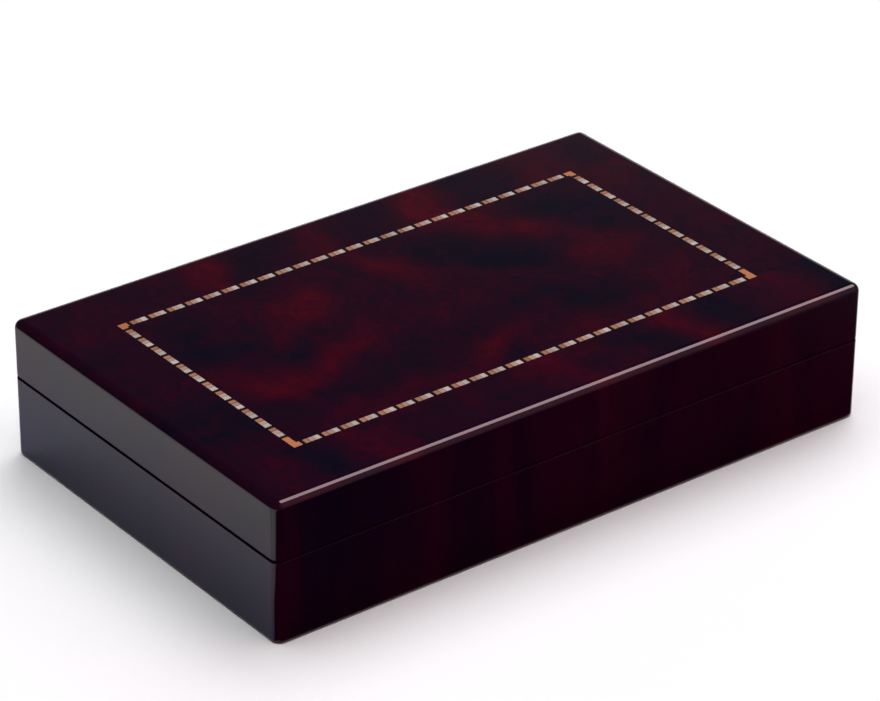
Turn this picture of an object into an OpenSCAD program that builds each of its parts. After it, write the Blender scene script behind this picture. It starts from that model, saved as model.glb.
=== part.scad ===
// Lacquered games compendium box with an inlaid lid, stop hinges and a fitted tray.
// The origin is the middle of the underside, +X runs along the box, +Y points to the hinges.

/* [Box] */
// Length of the box along its front
box_l = 300; // [290:1:320]
// Depth of the box from front to back
box_w = 186; // [184:1:200]
// Height of the closed box, felt included
box_h = 63; // [61:0.5:70]
// Height of the line where lid and base meet
seam_h = 36.9; // [36:0.1:38]
// Gap between the two rims
seam_gap = 0.4; // [0.3:0.1:0.6]
// Thickness of the base walls
wall_t = 9; // [9:0.5:10]
// Radius of the upright corners
corner_r = 4; // [4:0.5:6]
// Radius round the edge of the top
top_r = 3.8; // [2:0.2:3.8]
// Radius that eases the edges of the two rims
rim_r = 0.8; // [0.3:0.1:1]
// Radius round the bottom edge of the base
foot_r = 1; // [0.5:0.1:1.5]
// Thickness of the lid's top panel
panel_t = 6; // [5:0.5:7]
// Thickness of the floor panel
floor_t = 4; // [3:0.5:5]
// Thickness of the felt under the base
felt_t = 0.5; // [0.4:0.1:0.8]

/* [Inlay] */
// Distance from the box's sides to the middle of the inlaid band
inlay_margin = 32.8; // [28:0.1:40]
// Width of the inlaid band
inlay_w = 3; // [2:0.1:4]
// Depth of the groove that holds the inlay
inlay_d = 1; // [0.6:0.1:1.5]
// Repeats of the pattern along the long sides
repeats_long = 25; // [20:1:28]
// Distance from a corner's middle to the first black strip
corner_run = 3.5; // [3:0.1:5]
// Length of a black strip along the band
black_l = 1.6; // [1:0.1:2]
// Length of an orange tile
orange_l = 2.1; // [1.6:0.1:2.6]
// Length of the thin dark line after an orange tile
dark_l = 0.25; // [0.2:0.05:0.4]
// Length of a tan tile; the pearl tile takes the rest of the repeat
tan_l = 2.55; // [2:0.05:3]

/* [Hinges] */
// Distance of each hinge's middle from the box's middle
hinge_x = 88; // [60:1:110]
// Length of a hinge along the seam
hinge_l = 26; // [20:1:32]
// Depth of a leaf into the rim
leaf_d = 7.5; // [7:0.5:8]
// Thickness of a leaf
leaf_t = 1; // [0.8:0.1:1.2]
// Radius of the barrel
barrel_r = 2.1; // [1.9:0.1:2.3]
// Radius of the pin
pin_r = 1; // [0.8:0.1:1.1]
// Play of the pin in the upper leaf
pin_play = 0.05; // [0.03:0.01:0.08]
// How far the lid opens before the stop wings meet
stop_angle = 97; // [92:1:110]

/* [Tray] */
// Thickness of the tray's boards
board_t = 3; // [2.5:0.5:3.5]
// Height of the tray
tray_h = 29.5; // [29:0.5:30]
// Play between the tray and the liners on each side
tray_play = 0.6; // [0.4:0.1:1]
// Width of the channel for the dominoes
channel_w = 52; // [51:0.5:54]
// Width of a well for a pack of cards
card_well_w = 66; // [65:0.5:68]
// Width of the well for the dice
dice_well_w = 20; // [18:0.5:24]

/* [Games] */
// Length, width and thickness of a domino
domino = [50, 25, 9];
// Number of dominoes
domino_count = 28; // [1:1:28]
// Length of a die's edge
die = 16; // [12:0.5:16]
// Number of dice
die_count = 5; // [1:1:5]
// Width, length and thickness of a pack of cards
pack = [63, 88, 17.5];

/* [Hidden] */

lacquer = "#24101a";
walnut = "#5b3420";
maple = "#c9a070";
brass = "#c8a04a";
velvet = "#5a1420";
hole_over = 1;

// Plan and heights of the box
half_l = box_l / 2;
half_w = box_w / 2;
base_rim = seam_h - seam_gap / 2;
lid_rim = seam_h + seam_gap / 2;
lid_wall_h = box_h - panel_t - lid_rim;
base_wall_h = base_rim - felt_t;
rebate_w = 4;
rebate_t = wall_t - rebate_w;
felt_inset = 1.5;
floor_top = felt_t + floor_t;

// Liner that stands proud of the base's rim and guides the lid
liner_t = 2.5;
lip_h = 4;
lip_play = 0.35;
lid_wall_t = wall_t - lip_play;
liner_out = wall_t;
lining_t = 0.8;
pad_t = 4;
pad_r = 2;
pad_gap = 0.3;

// Magnets in the front rim and their plates
catch_x = 60;
catch_r = 3;
catch_magnet_h = 3;
catch_plate_h = 1.5;

// Hinge geometry, measured from the pin's axis
barrel_out = 0.4;
hinge_y = half_w + barrel_out;
barrel_play = 0.35;
knuckle_clear = 0.3;
knuckles = 5;
knuckle_gap = 0.15;
knuckle_pitch = hinge_l / knuckles;
lower_knuckles = [0, 2, 4];
upper_knuckles = [1, 3];
leaf_gap = 0.05;
stop_reach = 4.4;
stop_t = 1;
root = 1.2; // leaf and stop wing both end this far from the axis, inside the knuckles
screw_x = 8.5;
screw_y = 4.6;
screw_r = 1;
screw_head_r = 2;
screw_l = 6.5;

// Inlay: the repeats fill the long sides, and as many as fit go along the short ones
band_x = half_l - inlay_margin;
band_y = half_w - inlay_margin;
band_z = box_h - inlay_d;
pitch = (2 * band_x - 2 * corner_run) / repeats_long;
repeats_short = floor((2 * band_y - 2 * corner_run) / pitch);
orange_start = black_l / 2;
dark_start = orange_start + orange_l;
tan_start = dark_start + dark_l;
pearl_start = tan_start + tan_l;
pearl_l = pitch - pearl_start - black_l / 2;

// Tray and games
tray_z = floor_top + lining_t;
tray_x = half_l - liner_out - liner_t - tray_play;
tray_y = half_w - liner_out - liner_t - tray_play;
tray_floor_t = 2.5;
well_z = tray_z + tray_floor_t;
board_h = tray_h - tray_floor_t;
well_lining_t = 0.6;
play_z = well_z + well_lining_t;
channel_back = -tray_y + board_t + channel_w;
wells_front = channel_back + board_t;
wells_back = tray_y - board_t;
left_well = -tray_x + board_t;
second_well = left_well + card_well_w + board_t;
dice_well = second_well + card_well_w + board_t;
open_well = dice_well + dice_well_w + board_t;
well_play = 0.2;
notch_r = 12;
domino_gap = 0.1;
domino_pitch = domino[2] + domino_gap;
domino_r = 2.5;
die_gap = 1.6;
die_pitch = die + die_gap;
die_round = 0.7; // radius of the sphere that rounds a die, as a share of its edge
pack_r = 3.5;
pack_gap = 1;
riser_h = 8.2;

$fn = 48;

// Square of the given radius with a round corner left out of it, used to round a profile's corner
module corner_waste(r) {
    difference() {
        translate([-r, -r]) square([2 * r, 2 * r]);
        translate([-r, -r]) circle(r);
    }
}

// Upright section through an outer edge: x points outwards, y upwards
module edge_profile(w, h, r_top, r_foot) {
    difference() {
        square([w, h]);
        if (r_top > 0) translate([w, h]) corner_waste(r_top);
        if (r_foot > 0) translate([w, 0]) mirror([0, 1]) corner_waste(r_foot);
    }
}

// Rectangle with round corners
module round_rect(l, w, r) {
    square([l - 2 * r, w], center = true);
    square([l, w - 2 * r], center = true);
    for (x = [-1, 1], y = [-1, 1])
        translate([x * (l / 2 - r), y * (w / 2 - r)]) circle(r);
}

// Plan of a mitred strip along X, from t_out to t_in behind the outer face at y = -depth / 2
module mitred_strip(len, depth, t_out, t_in) {
    polygon([
        [-len / 2 + t_out, -depth / 2 + t_out], [len / 2 - t_out, -depth / 2 + t_out],
        [len / 2 - t_in, -depth / 2 + t_in], [-len / 2 + t_in, -depth / 2 + t_in]
    ]);
}

// Straight run of an edge profile along the side at y = -depth / 2, between the corners' centres
module edge_run(len, depth, h, r_top, r_foot) {
    translate([len / 2 - corner_r, -depth / 2 + corner_r, 0]) rotate([90, 0, -90])
        linear_extrude(len - 2 * corner_r) edge_profile(corner_r, h, r_top, r_foot);
}

// Round corner of the same profile, swept from one compass angle through another
module edge_corner(x, y, from, sweep, h, r_top, r_foot) {
    translate([x, y, 0]) rotate([0, 0, from])
        rotate_extrude(angle = sweep) edge_profile(corner_r, h, r_top, r_foot);
}

// Front end of a slab whose side at y = -depth / 2 and both corners there carry the edge profile
module slab_front(len, depth, h, r_top, r_foot) {
    cx = len / 2 - corner_r;
    cy = -depth / 2 + corner_r;
    translate([-cx, cy, 0]) cube([2 * cx, wall_t, h]);
    edge_run(len, depth, h, r_top, r_foot);
    edge_corner(cx, cy, -90, 90, h, r_top, r_foot);
    edge_corner(-cx, cy, 180, 90, h, r_top, r_foot);
    for (side = [-1, 1]) mirror([side < 0 ? 1 : 0, 0, 0]) translate([cx, cy + wall_t, 0])
        rotate([90, 0, 0]) linear_extrude(wall_t) edge_profile(corner_r, h, r_top, r_foot);
}

// One wall of a frame, mitred through its round corners, with a rebate under its inner part
module frame_wall(len, depth, h, t, r_top, r_foot, rebate_h) {
    difference() {
        intersection() {
            slab_front(len, depth, h, r_top, r_foot);
            translate([0, 0, -hole_over]) linear_extrude(h + 2 * hole_over)
                mitred_strip(len, depth, -hole_over, t);
        }
        if (rebate_h > 0) translate([-len / 2, -depth / 2 + rebate_t, -hole_over])
            cube([len, wall_t, rebate_h + hole_over]);
    }
}

module base_wall(turn) {
    along_x = turn % 180 == 0;
    rotate([0, 0, turn]) translate([0, 0, felt_t])
        frame_wall(along_x ? box_l : box_w, along_x ? box_w : box_l,
            base_wall_h, wall_t, rim_r, foot_r, floor_t);
}

module lid_wall(turn) {
    along_x = turn % 180 == 0;
    rotate([0, 0, turn]) translate([0, 0, lid_rim])
        frame_wall(along_x ? box_l : box_w, along_x ? box_w : box_l,
            lid_wall_h, lid_wall_t, 0, rim_r, 0);
}

// Places its children on the pin axis of both hinges
module at_hinges() {
    for (side = [-1, 1]) translate([side * hinge_x, hinge_y, seam_h]) children();
}

// Room that a hinge needs in the rim below it; mirrored, it is the room in the lid
module hinge_room() {
    translate([-hinge_l / 2, -leaf_d - barrel_out, -leaf_gap - leaf_t])
        cube([hinge_l, leaf_d + barrel_out, leaf_t + hole_over]);
    rotate([0, 90, 0])
        cylinder(r = barrel_r + barrel_play, h = hinge_l + 2 * barrel_play, center = true);
    hinge_screws();
}

// Countersunk screws of one leaf, heads up, seen from the lower leaf's side
module hinge_screws() {
    for (x = [-screw_x, 0, screw_x]) translate([x, -screw_y, -leaf_gap - leaf_t]) {
        cylinder(r1 = screw_r, r2 = screw_head_r, h = leaf_t);
        translate([0, 0, -screw_l]) cylinder(r = screw_r, h = screw_l);
    }
}

module catch_pair(h) {
    for (side = [-1, 1])
        translate([side * catch_x, -half_w + wall_t / 2, 0]) cylinder(r = catch_r, h = h);
}

module base_front_wall() {
    color(lacquer) difference() {
        base_wall(0);
        translate([0, 0, base_rim - catch_magnet_h]) catch_pair(catch_magnet_h + hole_over);
    }
}

module base_back_wall() {
    color(lacquer) difference() {
        base_wall(180);
        at_hinges() hinge_room();
    }
}

module base_left_wall() {
    color(lacquer) base_wall(-90);
}

module base_right_wall() {
    color(lacquer) base_wall(90);
}

module base_floor() {
    color(maple) translate([-half_l + rebate_t, -half_w + rebate_t, felt_t])
        cube([box_l - 2 * rebate_t, box_w - 2 * rebate_t, floor_t]);
}

module underside_felt() {
    color("#1d1d1f") linear_extrude(felt_t)
        round_rect(box_l - 2 * felt_inset, box_w - 2 * felt_inset, corner_r - felt_inset);
}

module floor_lining() {
    inset = 2 * (liner_out + liner_t);
    color(velvet) translate([0, 0, floor_top + lining_t / 2])
        cube([box_l - inset, box_w - inset, lining_t], center = true);
}

// One mitred liner slip with a fully round top edge
module liner(turn) {
    along_x = turn % 180 == 0;
    len = along_x ? box_l : box_w;
    depth = along_x ? box_w : box_l;
    top = seam_h + lip_h;
    color(walnut) rotate([0, 0, turn]) intersection() {
        translate([len / 2, -depth / 2 + liner_out + liner_t, 0]) rotate([90, 0, -90])
            linear_extrude(len) {
                translate([0, floor_top]) square([liner_t, top - liner_t / 2 - floor_top]);
                translate([liner_t / 2, top - liner_t / 2]) circle(liner_t / 2);
            }
        translate([0, 0, floor_top]) linear_extrude(top - floor_top)
            mitred_strip(len, depth, liner_out, liner_out + liner_t);
    }
}

module liner_front() {
    liner(0);
}

module liner_back() {
    liner(180);
}

module liner_left() {
    liner(-90);
}

module liner_right() {
    liner(90);
}

module catch_magnets() {
    color("silver") translate([0, 0, base_rim - catch_magnet_h]) catch_pair(catch_magnet_h);
}

module catch_plates() {
    color("silver") translate([0, 0, lid_rim]) catch_pair(catch_plate_h);
}

// Knuckles of a leaf, or the room round them when clear is more than 0
module knuckle_row(which, r, gap) {
    for (i = which)
        translate([-hinge_l / 2 + (i + 0.5) * knuckle_pitch, 0, 0]) rotate([0, 90, 0])
            cylinder(r = r, h = knuckle_pitch - gap, center = true);
}

// Lower leaf about the pin's axis, with the stop wing that points back and down
module hinge_leaf(own, other, bore_r) {
    color(brass) difference() {
        union() {
            difference() {
                union() {
                    translate([-hinge_l / 2, -leaf_d - barrel_out, -leaf_gap - leaf_t])
                        cube([hinge_l, leaf_d + barrel_out - root, leaf_t]);
                    rotate([-stop_angle / 2, 0, 0]) translate([-hinge_l / 2, root, -stop_t])
                        cube([hinge_l, stop_reach - root, stop_t]);
                }
                knuckle_row(other, barrel_r + knuckle_clear, -knuckle_gap / 2);
            }
            knuckle_row(own, barrel_r, knuckle_gap);
        }
        rotate([0, 90, 0]) cylinder(r = bore_r, h = hinge_l + 2 * hole_over, center = true);
        hinge_screws();
    }
}

module lower_leaf(side) {
    translate([side * hinge_x, hinge_y, seam_h])
        hinge_leaf(lower_knuckles, upper_knuckles, pin_r);
}

module upper_leaf(side) {
    translate([side * hinge_x, hinge_y, seam_h]) mirror([0, 0, 1])
        hinge_leaf(upper_knuckles, lower_knuckles, pin_r + pin_play);
}

module hinge_pin(side) {
    color(brass) translate([side * hinge_x, hinge_y, seam_h]) rotate([0, 90, 0])
        cylinder(r = pin_r, h = hinge_l + knuckle_clear, center = true);
}

module hinge_left_lower_leaf() {
    lower_leaf(-1);
}

module hinge_right_lower_leaf() {
    lower_leaf(1);
}

module hinge_left_upper_leaf() {
    upper_leaf(-1);
}

module hinge_right_upper_leaf() {
    upper_leaf(1);
}

module hinge_left_pin() {
    hinge_pin(-1);
}

module hinge_right_pin() {
    hinge_pin(1);
}

module base_hinge_screws() {
    color(brass) at_hinges() hinge_screws();
}

module lid_hinge_screws() {
    color(brass) at_hinges() mirror([0, 0, 1]) hinge_screws();
}

module lid_front_wall() {
    color(lacquer) difference() {
        lid_wall(0);
        translate([0, 0, lid_rim - hole_over]) catch_pair(catch_plate_h + hole_over);
    }
}

module lid_back_wall() {
    color(lacquer) difference() {
        lid_wall(180);
        at_hinges() mirror([0, 0, 1]) hinge_room();
    }
}

module lid_left_wall() {
    color(lacquer) lid_wall(-90);
}

module lid_right_wall() {
    color(lacquer) lid_wall(90);
}

// Ring along the inlaid band
module band_ring(h) {
    linear_extrude(h) difference() {
        square([2 * band_x + inlay_w, 2 * band_y + inlay_w], center = true);
        square([2 * band_x - inlay_w, 2 * band_y - inlay_w], center = true);
    }
}

module lid_top_panel() {
    cx = half_l - corner_r;
    cy = half_w - corner_r;
    color(lacquer) difference() {
        translate([0, 0, box_h - panel_t]) {
            translate([-cx, -cy, 0]) cube([2 * cx, 2 * cy, panel_t]);
            for (turn = [0, 180]) rotate([0, 0, turn]) {
                edge_run(box_l, box_w, panel_t, top_r, 0);
                edge_corner(cx, cy, 0, 90, panel_t, top_r, 0);
                edge_corner(-cx, cy, 90, 90, panel_t, top_r, 0);
                rotate([0, 0, 90]) edge_run(box_w, box_l, panel_t, top_r, 0);
            }
        }
        translate([0, 0, band_z]) band_ring(inlay_d + hole_over);
    }
}

// Runs its children along all four sides of the band, starting at each first black strip;
// $count tells them how many repeats the side has
module along_band() {
    for (side = [-1, 1]) {
        $count = repeats_long;
        translate([-band_x + corner_run, side * band_y, band_z]) children();
    }
    for (side = [-1, 1]) {
        $count = repeats_short;
        translate([side * band_x, band_y - corner_run, band_z]) rotate([0, 0, -90]) children();
    }
}

// Equal tiles, one in each repeat, that start at s in it and are l long
module tiles(count, s, l) {
    for (i = [0:count - 1]) translate([i * pitch + s, -inlay_w / 2, 0]) cube([l, inlay_w, inlay_d]);
}

module inlay_black_strips() {
    color("#0c0a0a") along_band() tiles($count + 1, -black_l / 2, black_l);
}

module inlay_orange_tiles() {
    color("#b0714e") along_band() tiles($count, orange_start, orange_l);
}

module inlay_dark_lines() {
    color("#3a2018") along_band() tiles($count, dark_start, dark_l);
}

module inlay_tan_tiles() {
    color("#a98a78") along_band() tiles($count, tan_start, tan_l);
}

module inlay_pearl_tiles() {
    color("#c0b4ac") along_band() tiles($count, pearl_start, pearl_l);
}

// The corners take what the repeats leave over; the front ones are longer on the short sides
module inlay_corner_tiles() {
    short_end = 2 * band_y - corner_run - repeats_short * pitch;
    leg_x = corner_run - black_l / 2;
    color("#b0714e") for (x = [-1, 1], y = [-1, 1]) {
        leg_y = (y > 0 ? corner_run : short_end) - black_l / 2;
        translate([x * band_x, y * band_y, band_z]) linear_extrude(inlay_d) {
            translate([-x * leg_x / 2, 0]) square([leg_x, inlay_w], center = true);
            translate([0, -y * leg_y / 2]) square([inlay_w, leg_y], center = true);
            square(inlay_w, center = true);
        }
    }
}

module lid_lining() {
    inset = 2 * (lid_wall_t + pad_gap);
    color(velvet) translate([0, 0, box_h - panel_t - pad_t]) linear_extrude(pad_t)
        round_rect(box_l - inset, box_w - inset, pad_r);
}

// Tray board along X with a round top edge, outer face at y = 0, and notches at the given places
module board(len, h, notches) {
    difference() {
        translate([-len / 2, 0, 0]) rotate([90, 0, 90]) linear_extrude(len) {
            square([board_t, h - board_t / 2]);
            translate([board_t / 2, h - board_t / 2]) circle(board_t / 2);
        }
        for (x = notches) translate([x, -hole_over, h]) rotate([-90, 0, 0])
            cylinder(r = notch_r, h = board_t + 2 * hole_over);
    }
}

module tray_floor() {
    color(maple) translate([-tray_x, -tray_y, tray_z])
        cube([2 * tray_x, 2 * tray_y, tray_floor_t]);
}

module tray_front() {
    color(walnut) translate([0, -tray_y, well_z]) board(2 * tray_x, board_h, []);
}

module tray_back() {
    color(walnut) translate([0, tray_y - board_t, well_z]) board(2 * tray_x, board_h, []);
}

module tray_left() {
    color(walnut) translate([-tray_x + board_t, 0, well_z]) rotate([0, 0, 90])
        board(2 * (tray_y - board_t), board_h, [(wells_front + wells_back) / 2]);
}

module tray_right() {
    color(walnut) translate([tray_x, 0, well_z]) rotate([0, 0, 90])
        board(2 * (tray_y - board_t), board_h, [(wells_front + wells_back) / 2]);
}

module tray_channel_divider() {
    color(walnut) translate([0, channel_back, well_z])
        board(2 * (tray_x - board_t), board_h,
            [left_well + card_well_w / 2, second_well + card_well_w / 2, open_well + notch_r * 2]);
}

// Cross board whose left face is at x, between the channel divider and the back board
module cross_board(x) {
    color(walnut) translate([x + board_t, (wells_front + wells_back) / 2, well_z])
        rotate([0, 0, 90]) board(wells_back - wells_front, board_h, []);
}

module tray_card_divider() {
    cross_board(second_well - board_t);
}

module tray_dice_divider() {
    cross_board(dice_well - board_t);
}

module tray_well_divider() {
    cross_board(open_well - board_t);
}

// Velvet on the bottom of a well from one corner to the other
module well_lining(x0, y0, x1, y1) {
    translate([x0 + well_play, y0 + well_play, well_z])
        cube([x1 - x0 - 2 * well_play, y1 - y0 - 2 * well_play, well_lining_t]);
}

module tray_lining() {
    color(velvet) {
        well_lining(left_well, -tray_y + board_t, tray_x - board_t, channel_back);
        well_lining(dice_well, wells_front, open_well - board_t, wells_back);
        well_lining(open_well, wells_front, tray_x - board_t, wells_back);
    }
}

module card_risers() {
    color(velvet) for (x = [left_well, second_well])
        translate([x + well_play, wells_front + well_play, well_z])
            cube([card_well_w - 2 * well_play, wells_back - wells_front - 2 * well_play, riser_h]);
}

// Pack of cards at the back of its well, which leaves room for a finger in front of it
module card_pack(x) {
    translate([x + card_well_w / 2, wells_back - pack_gap - pack[1] / 2, well_z + riser_h])
        linear_extrude(pack[2]) round_rect(pack[0], pack[1], pack_r);
}

module card_pack_left() {
    color("#8c2230") card_pack(left_well);
}

module card_pack_right() {
    color("#24406e") card_pack(second_well);
}

module dominoes() {
    first = left_well + well_play;
    middle = (channel_back - tray_y + board_t) / 2;
    color("ivory") for (i = [0:domino_count - 1])
        translate([first + i * domino_pitch, middle, play_z + domino[1] / 2]) rotate([90, 0, 90])
            linear_extrude(domino[2]) round_rect(domino[0], domino[1], domino_r);
}

// Cubes with their corners rounded by a sphere
module dice() {
    middle = (wells_front + wells_back) / 2;
    color("ivory") for (i = [0:die_count - 1])
        translate([dice_well + dice_well_w / 2, middle + (i - (die_count - 1) / 2) * die_pitch,
                play_z + die / 2])
            intersection() {
                cube(die, center = true);
                sphere(r = die * die_round, $fn = 64);
            }
}

base_front_wall();
base_back_wall();
base_left_wall();
base_right_wall();
base_floor();
underside_felt();
floor_lining();
liner_front();
liner_back();
liner_left();
liner_right();
catch_magnets();
hinge_left_lower_leaf();
hinge_right_lower_leaf();
hinge_left_pin();
hinge_right_pin();
base_hinge_screws();
lid_front_wall();
lid_back_wall();
lid_left_wall();
lid_right_wall();
lid_top_panel();
inlay_black_strips();
inlay_orange_tiles();
inlay_dark_lines();
inlay_tan_tiles();
inlay_pearl_tiles();
inlay_corner_tiles();
lid_lining();
catch_plates();
hinge_left_upper_leaf();
hinge_right_upper_leaf();
lid_hinge_screws();
tray_floor();
tray_front();
tray_back();
tray_left();
tray_right();
tray_channel_divider();
tray_card_divider();
tray_dice_divider();
tray_well_divider();
tray_lining();
card_risers();
card_pack_left();
card_pack_right();
dominoes();
dice();
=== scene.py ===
# Lacquered games box with an inlaid lid, a fitted tray and its games
import math

import bmesh
import bpy
from mathutils import Matrix, Vector, noise


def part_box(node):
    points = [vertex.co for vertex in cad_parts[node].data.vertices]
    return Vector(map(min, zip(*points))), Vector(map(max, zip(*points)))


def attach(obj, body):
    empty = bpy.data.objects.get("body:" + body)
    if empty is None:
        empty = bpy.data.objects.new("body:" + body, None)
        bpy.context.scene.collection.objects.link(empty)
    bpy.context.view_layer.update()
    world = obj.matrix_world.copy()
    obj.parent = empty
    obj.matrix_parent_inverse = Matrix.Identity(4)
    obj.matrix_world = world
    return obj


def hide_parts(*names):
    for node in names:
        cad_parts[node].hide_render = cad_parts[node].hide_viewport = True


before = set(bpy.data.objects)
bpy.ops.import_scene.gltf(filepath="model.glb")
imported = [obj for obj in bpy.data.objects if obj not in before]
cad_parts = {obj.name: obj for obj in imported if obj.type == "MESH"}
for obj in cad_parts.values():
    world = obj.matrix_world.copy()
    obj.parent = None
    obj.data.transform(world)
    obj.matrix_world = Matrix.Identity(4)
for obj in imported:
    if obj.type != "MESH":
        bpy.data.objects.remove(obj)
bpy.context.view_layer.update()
mm = 0.001

# seen sizes of the box, in millimetres, as the frame has them
case = {
    "length": 300, "depth": 186, "height": 63,
    "cornerRadius": 4, "topRadius": 3.8, "rimRadius": 0.8, "footRadius": 1.0,
    "lidRim": 37.1, "baseRim": 36.7, "lidWall": 8.65, "baseWall": 9, "panel": 6,
    "feltThick": 0.5, "rebateDepth": 5, "floorTop": 4.5,
    "arcSteps": 12,    # segments round each upright corner
    "support": 0.05,   # width of the strips that keep flat faces flat beside a round edge
    "gridStep": 2,     # spacing of the top's mesh
}
# tile lengths along the band, in millimetres; the pearl tile takes what is left of each repeat
inlay = {
    "margin": 32.8, "width": 3, "depth": 1, "cornerRun": 3.5, "repeatsLong": 25,
    "black": 1.6, "orange": 2.1, "brown": 0.25, "tan": 2.55,
    "seed": 4,
}
halfL = case["length"] / 2
halfW = case["depth"] / 2
bandX = halfL - inlay["margin"]
bandY = halfW - inlay["margin"]
pitch = (2 * bandX - 2 * inlay["cornerRun"]) / inlay["repeatsLong"]
repeatsShort = int((2 * bandY - 2 * inlay["cornerRun"]) / pitch)


# shader and geometry trees

def addNode(tree, kind, values=None, **settings):
    node = tree.nodes.new(kind)
    for key, value in settings.items():
        setattr(node, key, value)
    for key, value in (values or {}).items():
        socket = node.inputs[key]
        if isinstance(value, bpy.types.NodeSocket):
            tree.links.new(value, socket)
        else:
            socket.default_value = value
    return node


def newMaterial(name, **surface):
    material = bpy.data.materials.new(name)
    material.use_nodes = True
    tree = material.node_tree
    shader = tree.nodes["Principled BSDF"]
    for key, value in surface.items():
        shader.inputs[key].default_value = value
    return material, tree, shader


def objectCoords(tree, scale=(1, 1, 1), rotation=(0, 0, 0), location=(0, 0, 0)):
    coords = addNode(tree, "ShaderNodeTexCoord").outputs["Object"]
    values = {"Vector": coords, "Scale": scale, "Rotation": rotation, "Location": location}
    return addNode(tree, "ShaderNodeMapping", values).outputs["Vector"]


def noiseOf(tree, vector, scale, detail=4, roughness=0.55, distortion=0.0):
    values = {"Vector": vector, "Scale": scale, "Detail": detail,
              "Roughness": roughness, "Distortion": distortion}
    return addNode(tree, "ShaderNodeTexNoise", values).outputs["Fac"]


def rampOf(tree, factor, stops):
    ramp = addNode(tree, "ShaderNodeValToRGB", {"Fac": factor})
    elements = ramp.color_ramp.elements
    elements[0].position, elements[1].position = stops[0][0], stops[-1][0]
    elements[0].color, elements[1].color = (*stops[0][1], 1), (*stops[-1][1], 1)
    for place, colour in stops[1:-1]:
        elements.new(place).color = (*colour, 1)
    return ramp.outputs["Color"]


def mathOf(tree, operation, a, b=0.0, clamp=False):
    node = addNode(tree, "ShaderNodeMath", {0: a, 1: b}, operation=operation)
    node.use_clamp = clamp
    return node.outputs[0]


def remapOf(tree, value, low, high, newLow=0.0, newHigh=1.0, smooth=False):
    values = {"Value": value, "From Min": low, "From Max": high,
              "To Min": newLow, "To Max": newHigh}
    way = "SMOOTHSTEP" if smooth else "LINEAR"
    return addNode(tree, "ShaderNodeMapRange", values, interpolation_type=way).outputs["Result"]


# adds a pattern, centred on 0.5, to a level
def plusPattern(tree, level, pattern, strength):
    swing = mathOf(tree, "MULTIPLY", mathOf(tree, "SUBTRACT", pattern, 0.5), strength)
    return mathOf(tree, "ADD", level, swing)


def blendOf(tree, factor, first, second, mode="MIX"):
    node = addNode(tree, "ShaderNodeMix", data_type="RGBA", blend_type=mode)
    for socket, value in ((node.inputs[0], factor), (node.inputs[6], first), (node.inputs[7], second)):
        if isinstance(value, bpy.types.NodeSocket):
            tree.links.new(value, socket)
        elif isinstance(value, tuple):
            socket.default_value = (*value, 1)
        else:
            socket.default_value = value
    return node.outputs[2]


def bumpInto(tree, shader, height, strength, distance):
    values = {"Height": height, "Strength": strength, "Distance": distance}
    tree.links.new(addNode(tree, "ShaderNodeBump", values).outputs["Normal"], shader.inputs["Normal"])


def attributeOf(tree, name):
    return addNode(tree, "ShaderNodeAttribute", attribute_name=name).outputs["Fac"]


# materials

def lacquerFinish(shader, coat=0.78):
    shader.inputs["Roughness"].default_value = 0.6
    shader.inputs["Specular IOR Level"].default_value = 0.0
    shader.inputs["Coat Weight"].default_value = coat
    shader.inputs["Coat Roughness"].default_value = 0.02
    shader.inputs["Coat IOR"].default_value = 1.5


# burl veneer on the top: the attribute "redness" holds the large clouds
def makeTopVeneer():
    material, tree, shader = newMaterial("burlTop")
    coords = objectCoords(tree)
    swirl = noiseOf(tree, coords, 26, 5, 0.55, 1.6)
    cloud = noiseOf(tree, coords, 95, 6, 0.66, 0.9)
    grain = noiseOf(tree, objectCoords(tree, (1, 0.22, 1), (0, 0, 0.5)), 420, 4, 0.65)
    level = plusPattern(tree, attributeOf(tree, "redness"), swirl, 0.5)
    folds = mathOf(tree, "SINE", mathOf(tree, "MULTIPLY", plusPattern(tree, level, cloud, 0.25), 62.0))
    lines = remapOf(tree, folds, 0.3, 1.0, 0.0, 1.0, True)
    level = plusPattern(tree, level, cloud, 0.65)
    level = plusPattern(tree, level, grain, 0.28)
    level = mathOf(tree, "SUBTRACT", level, mathOf(tree, "MULTIPLY", lines, 0.09))
    colour = rampOf(tree, level, [
        (0.0, (0.0040, 0.0024, 0.0094)), (0.33, (0.0140, 0.0017, 0.0088)),
        (0.6, (0.030, 0.0012, 0.0078)), (0.85, (0.052, 0.0013, 0.0074)),
        (1.0, (0.066, 0.0016, 0.0078))])
    tree.links.new(colour, shader.inputs["Base Color"])
    lacquerFinish(shader)
    return material


# straight veneer on the sides, its figure upright and warmer towards the right end
def makeSideVeneer(name, coat):
    material, tree, shader = newMaterial(name)
    wide = noiseOf(tree, objectCoords(tree, (1, 1, 0.2)), 34, 4, 0.55, 0.6)
    fine = noiseOf(tree, objectCoords(tree, (1, 1, 0.05)), 260, 3, 0.6)
    place = addNode(tree, "ShaderNodeSeparateXYZ", {0: objectCoords(tree)}).outputs[0]
    level = mathOf(tree, "ADD", 0.48, mathOf(tree, "MULTIPLY", place, 0.8))
    level = plusPattern(tree, level, wide, 1.7)
    level = plusPattern(tree, level, fine, 0.5)
    colour = rampOf(tree, level, [
        (0.1, (0.0045, 0.0009, 0.0062)), (0.4, (0.0105, 0.0005, 0.0060)),
        (0.7, (0.0165, 0.0005, 0.0060)), (1.0, (0.0270, 0.0010, 0.0075))])
    tree.links.new(colour, shader.inputs["Base Color"])
    lacquerFinish(shader, coat)
    return material


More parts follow.
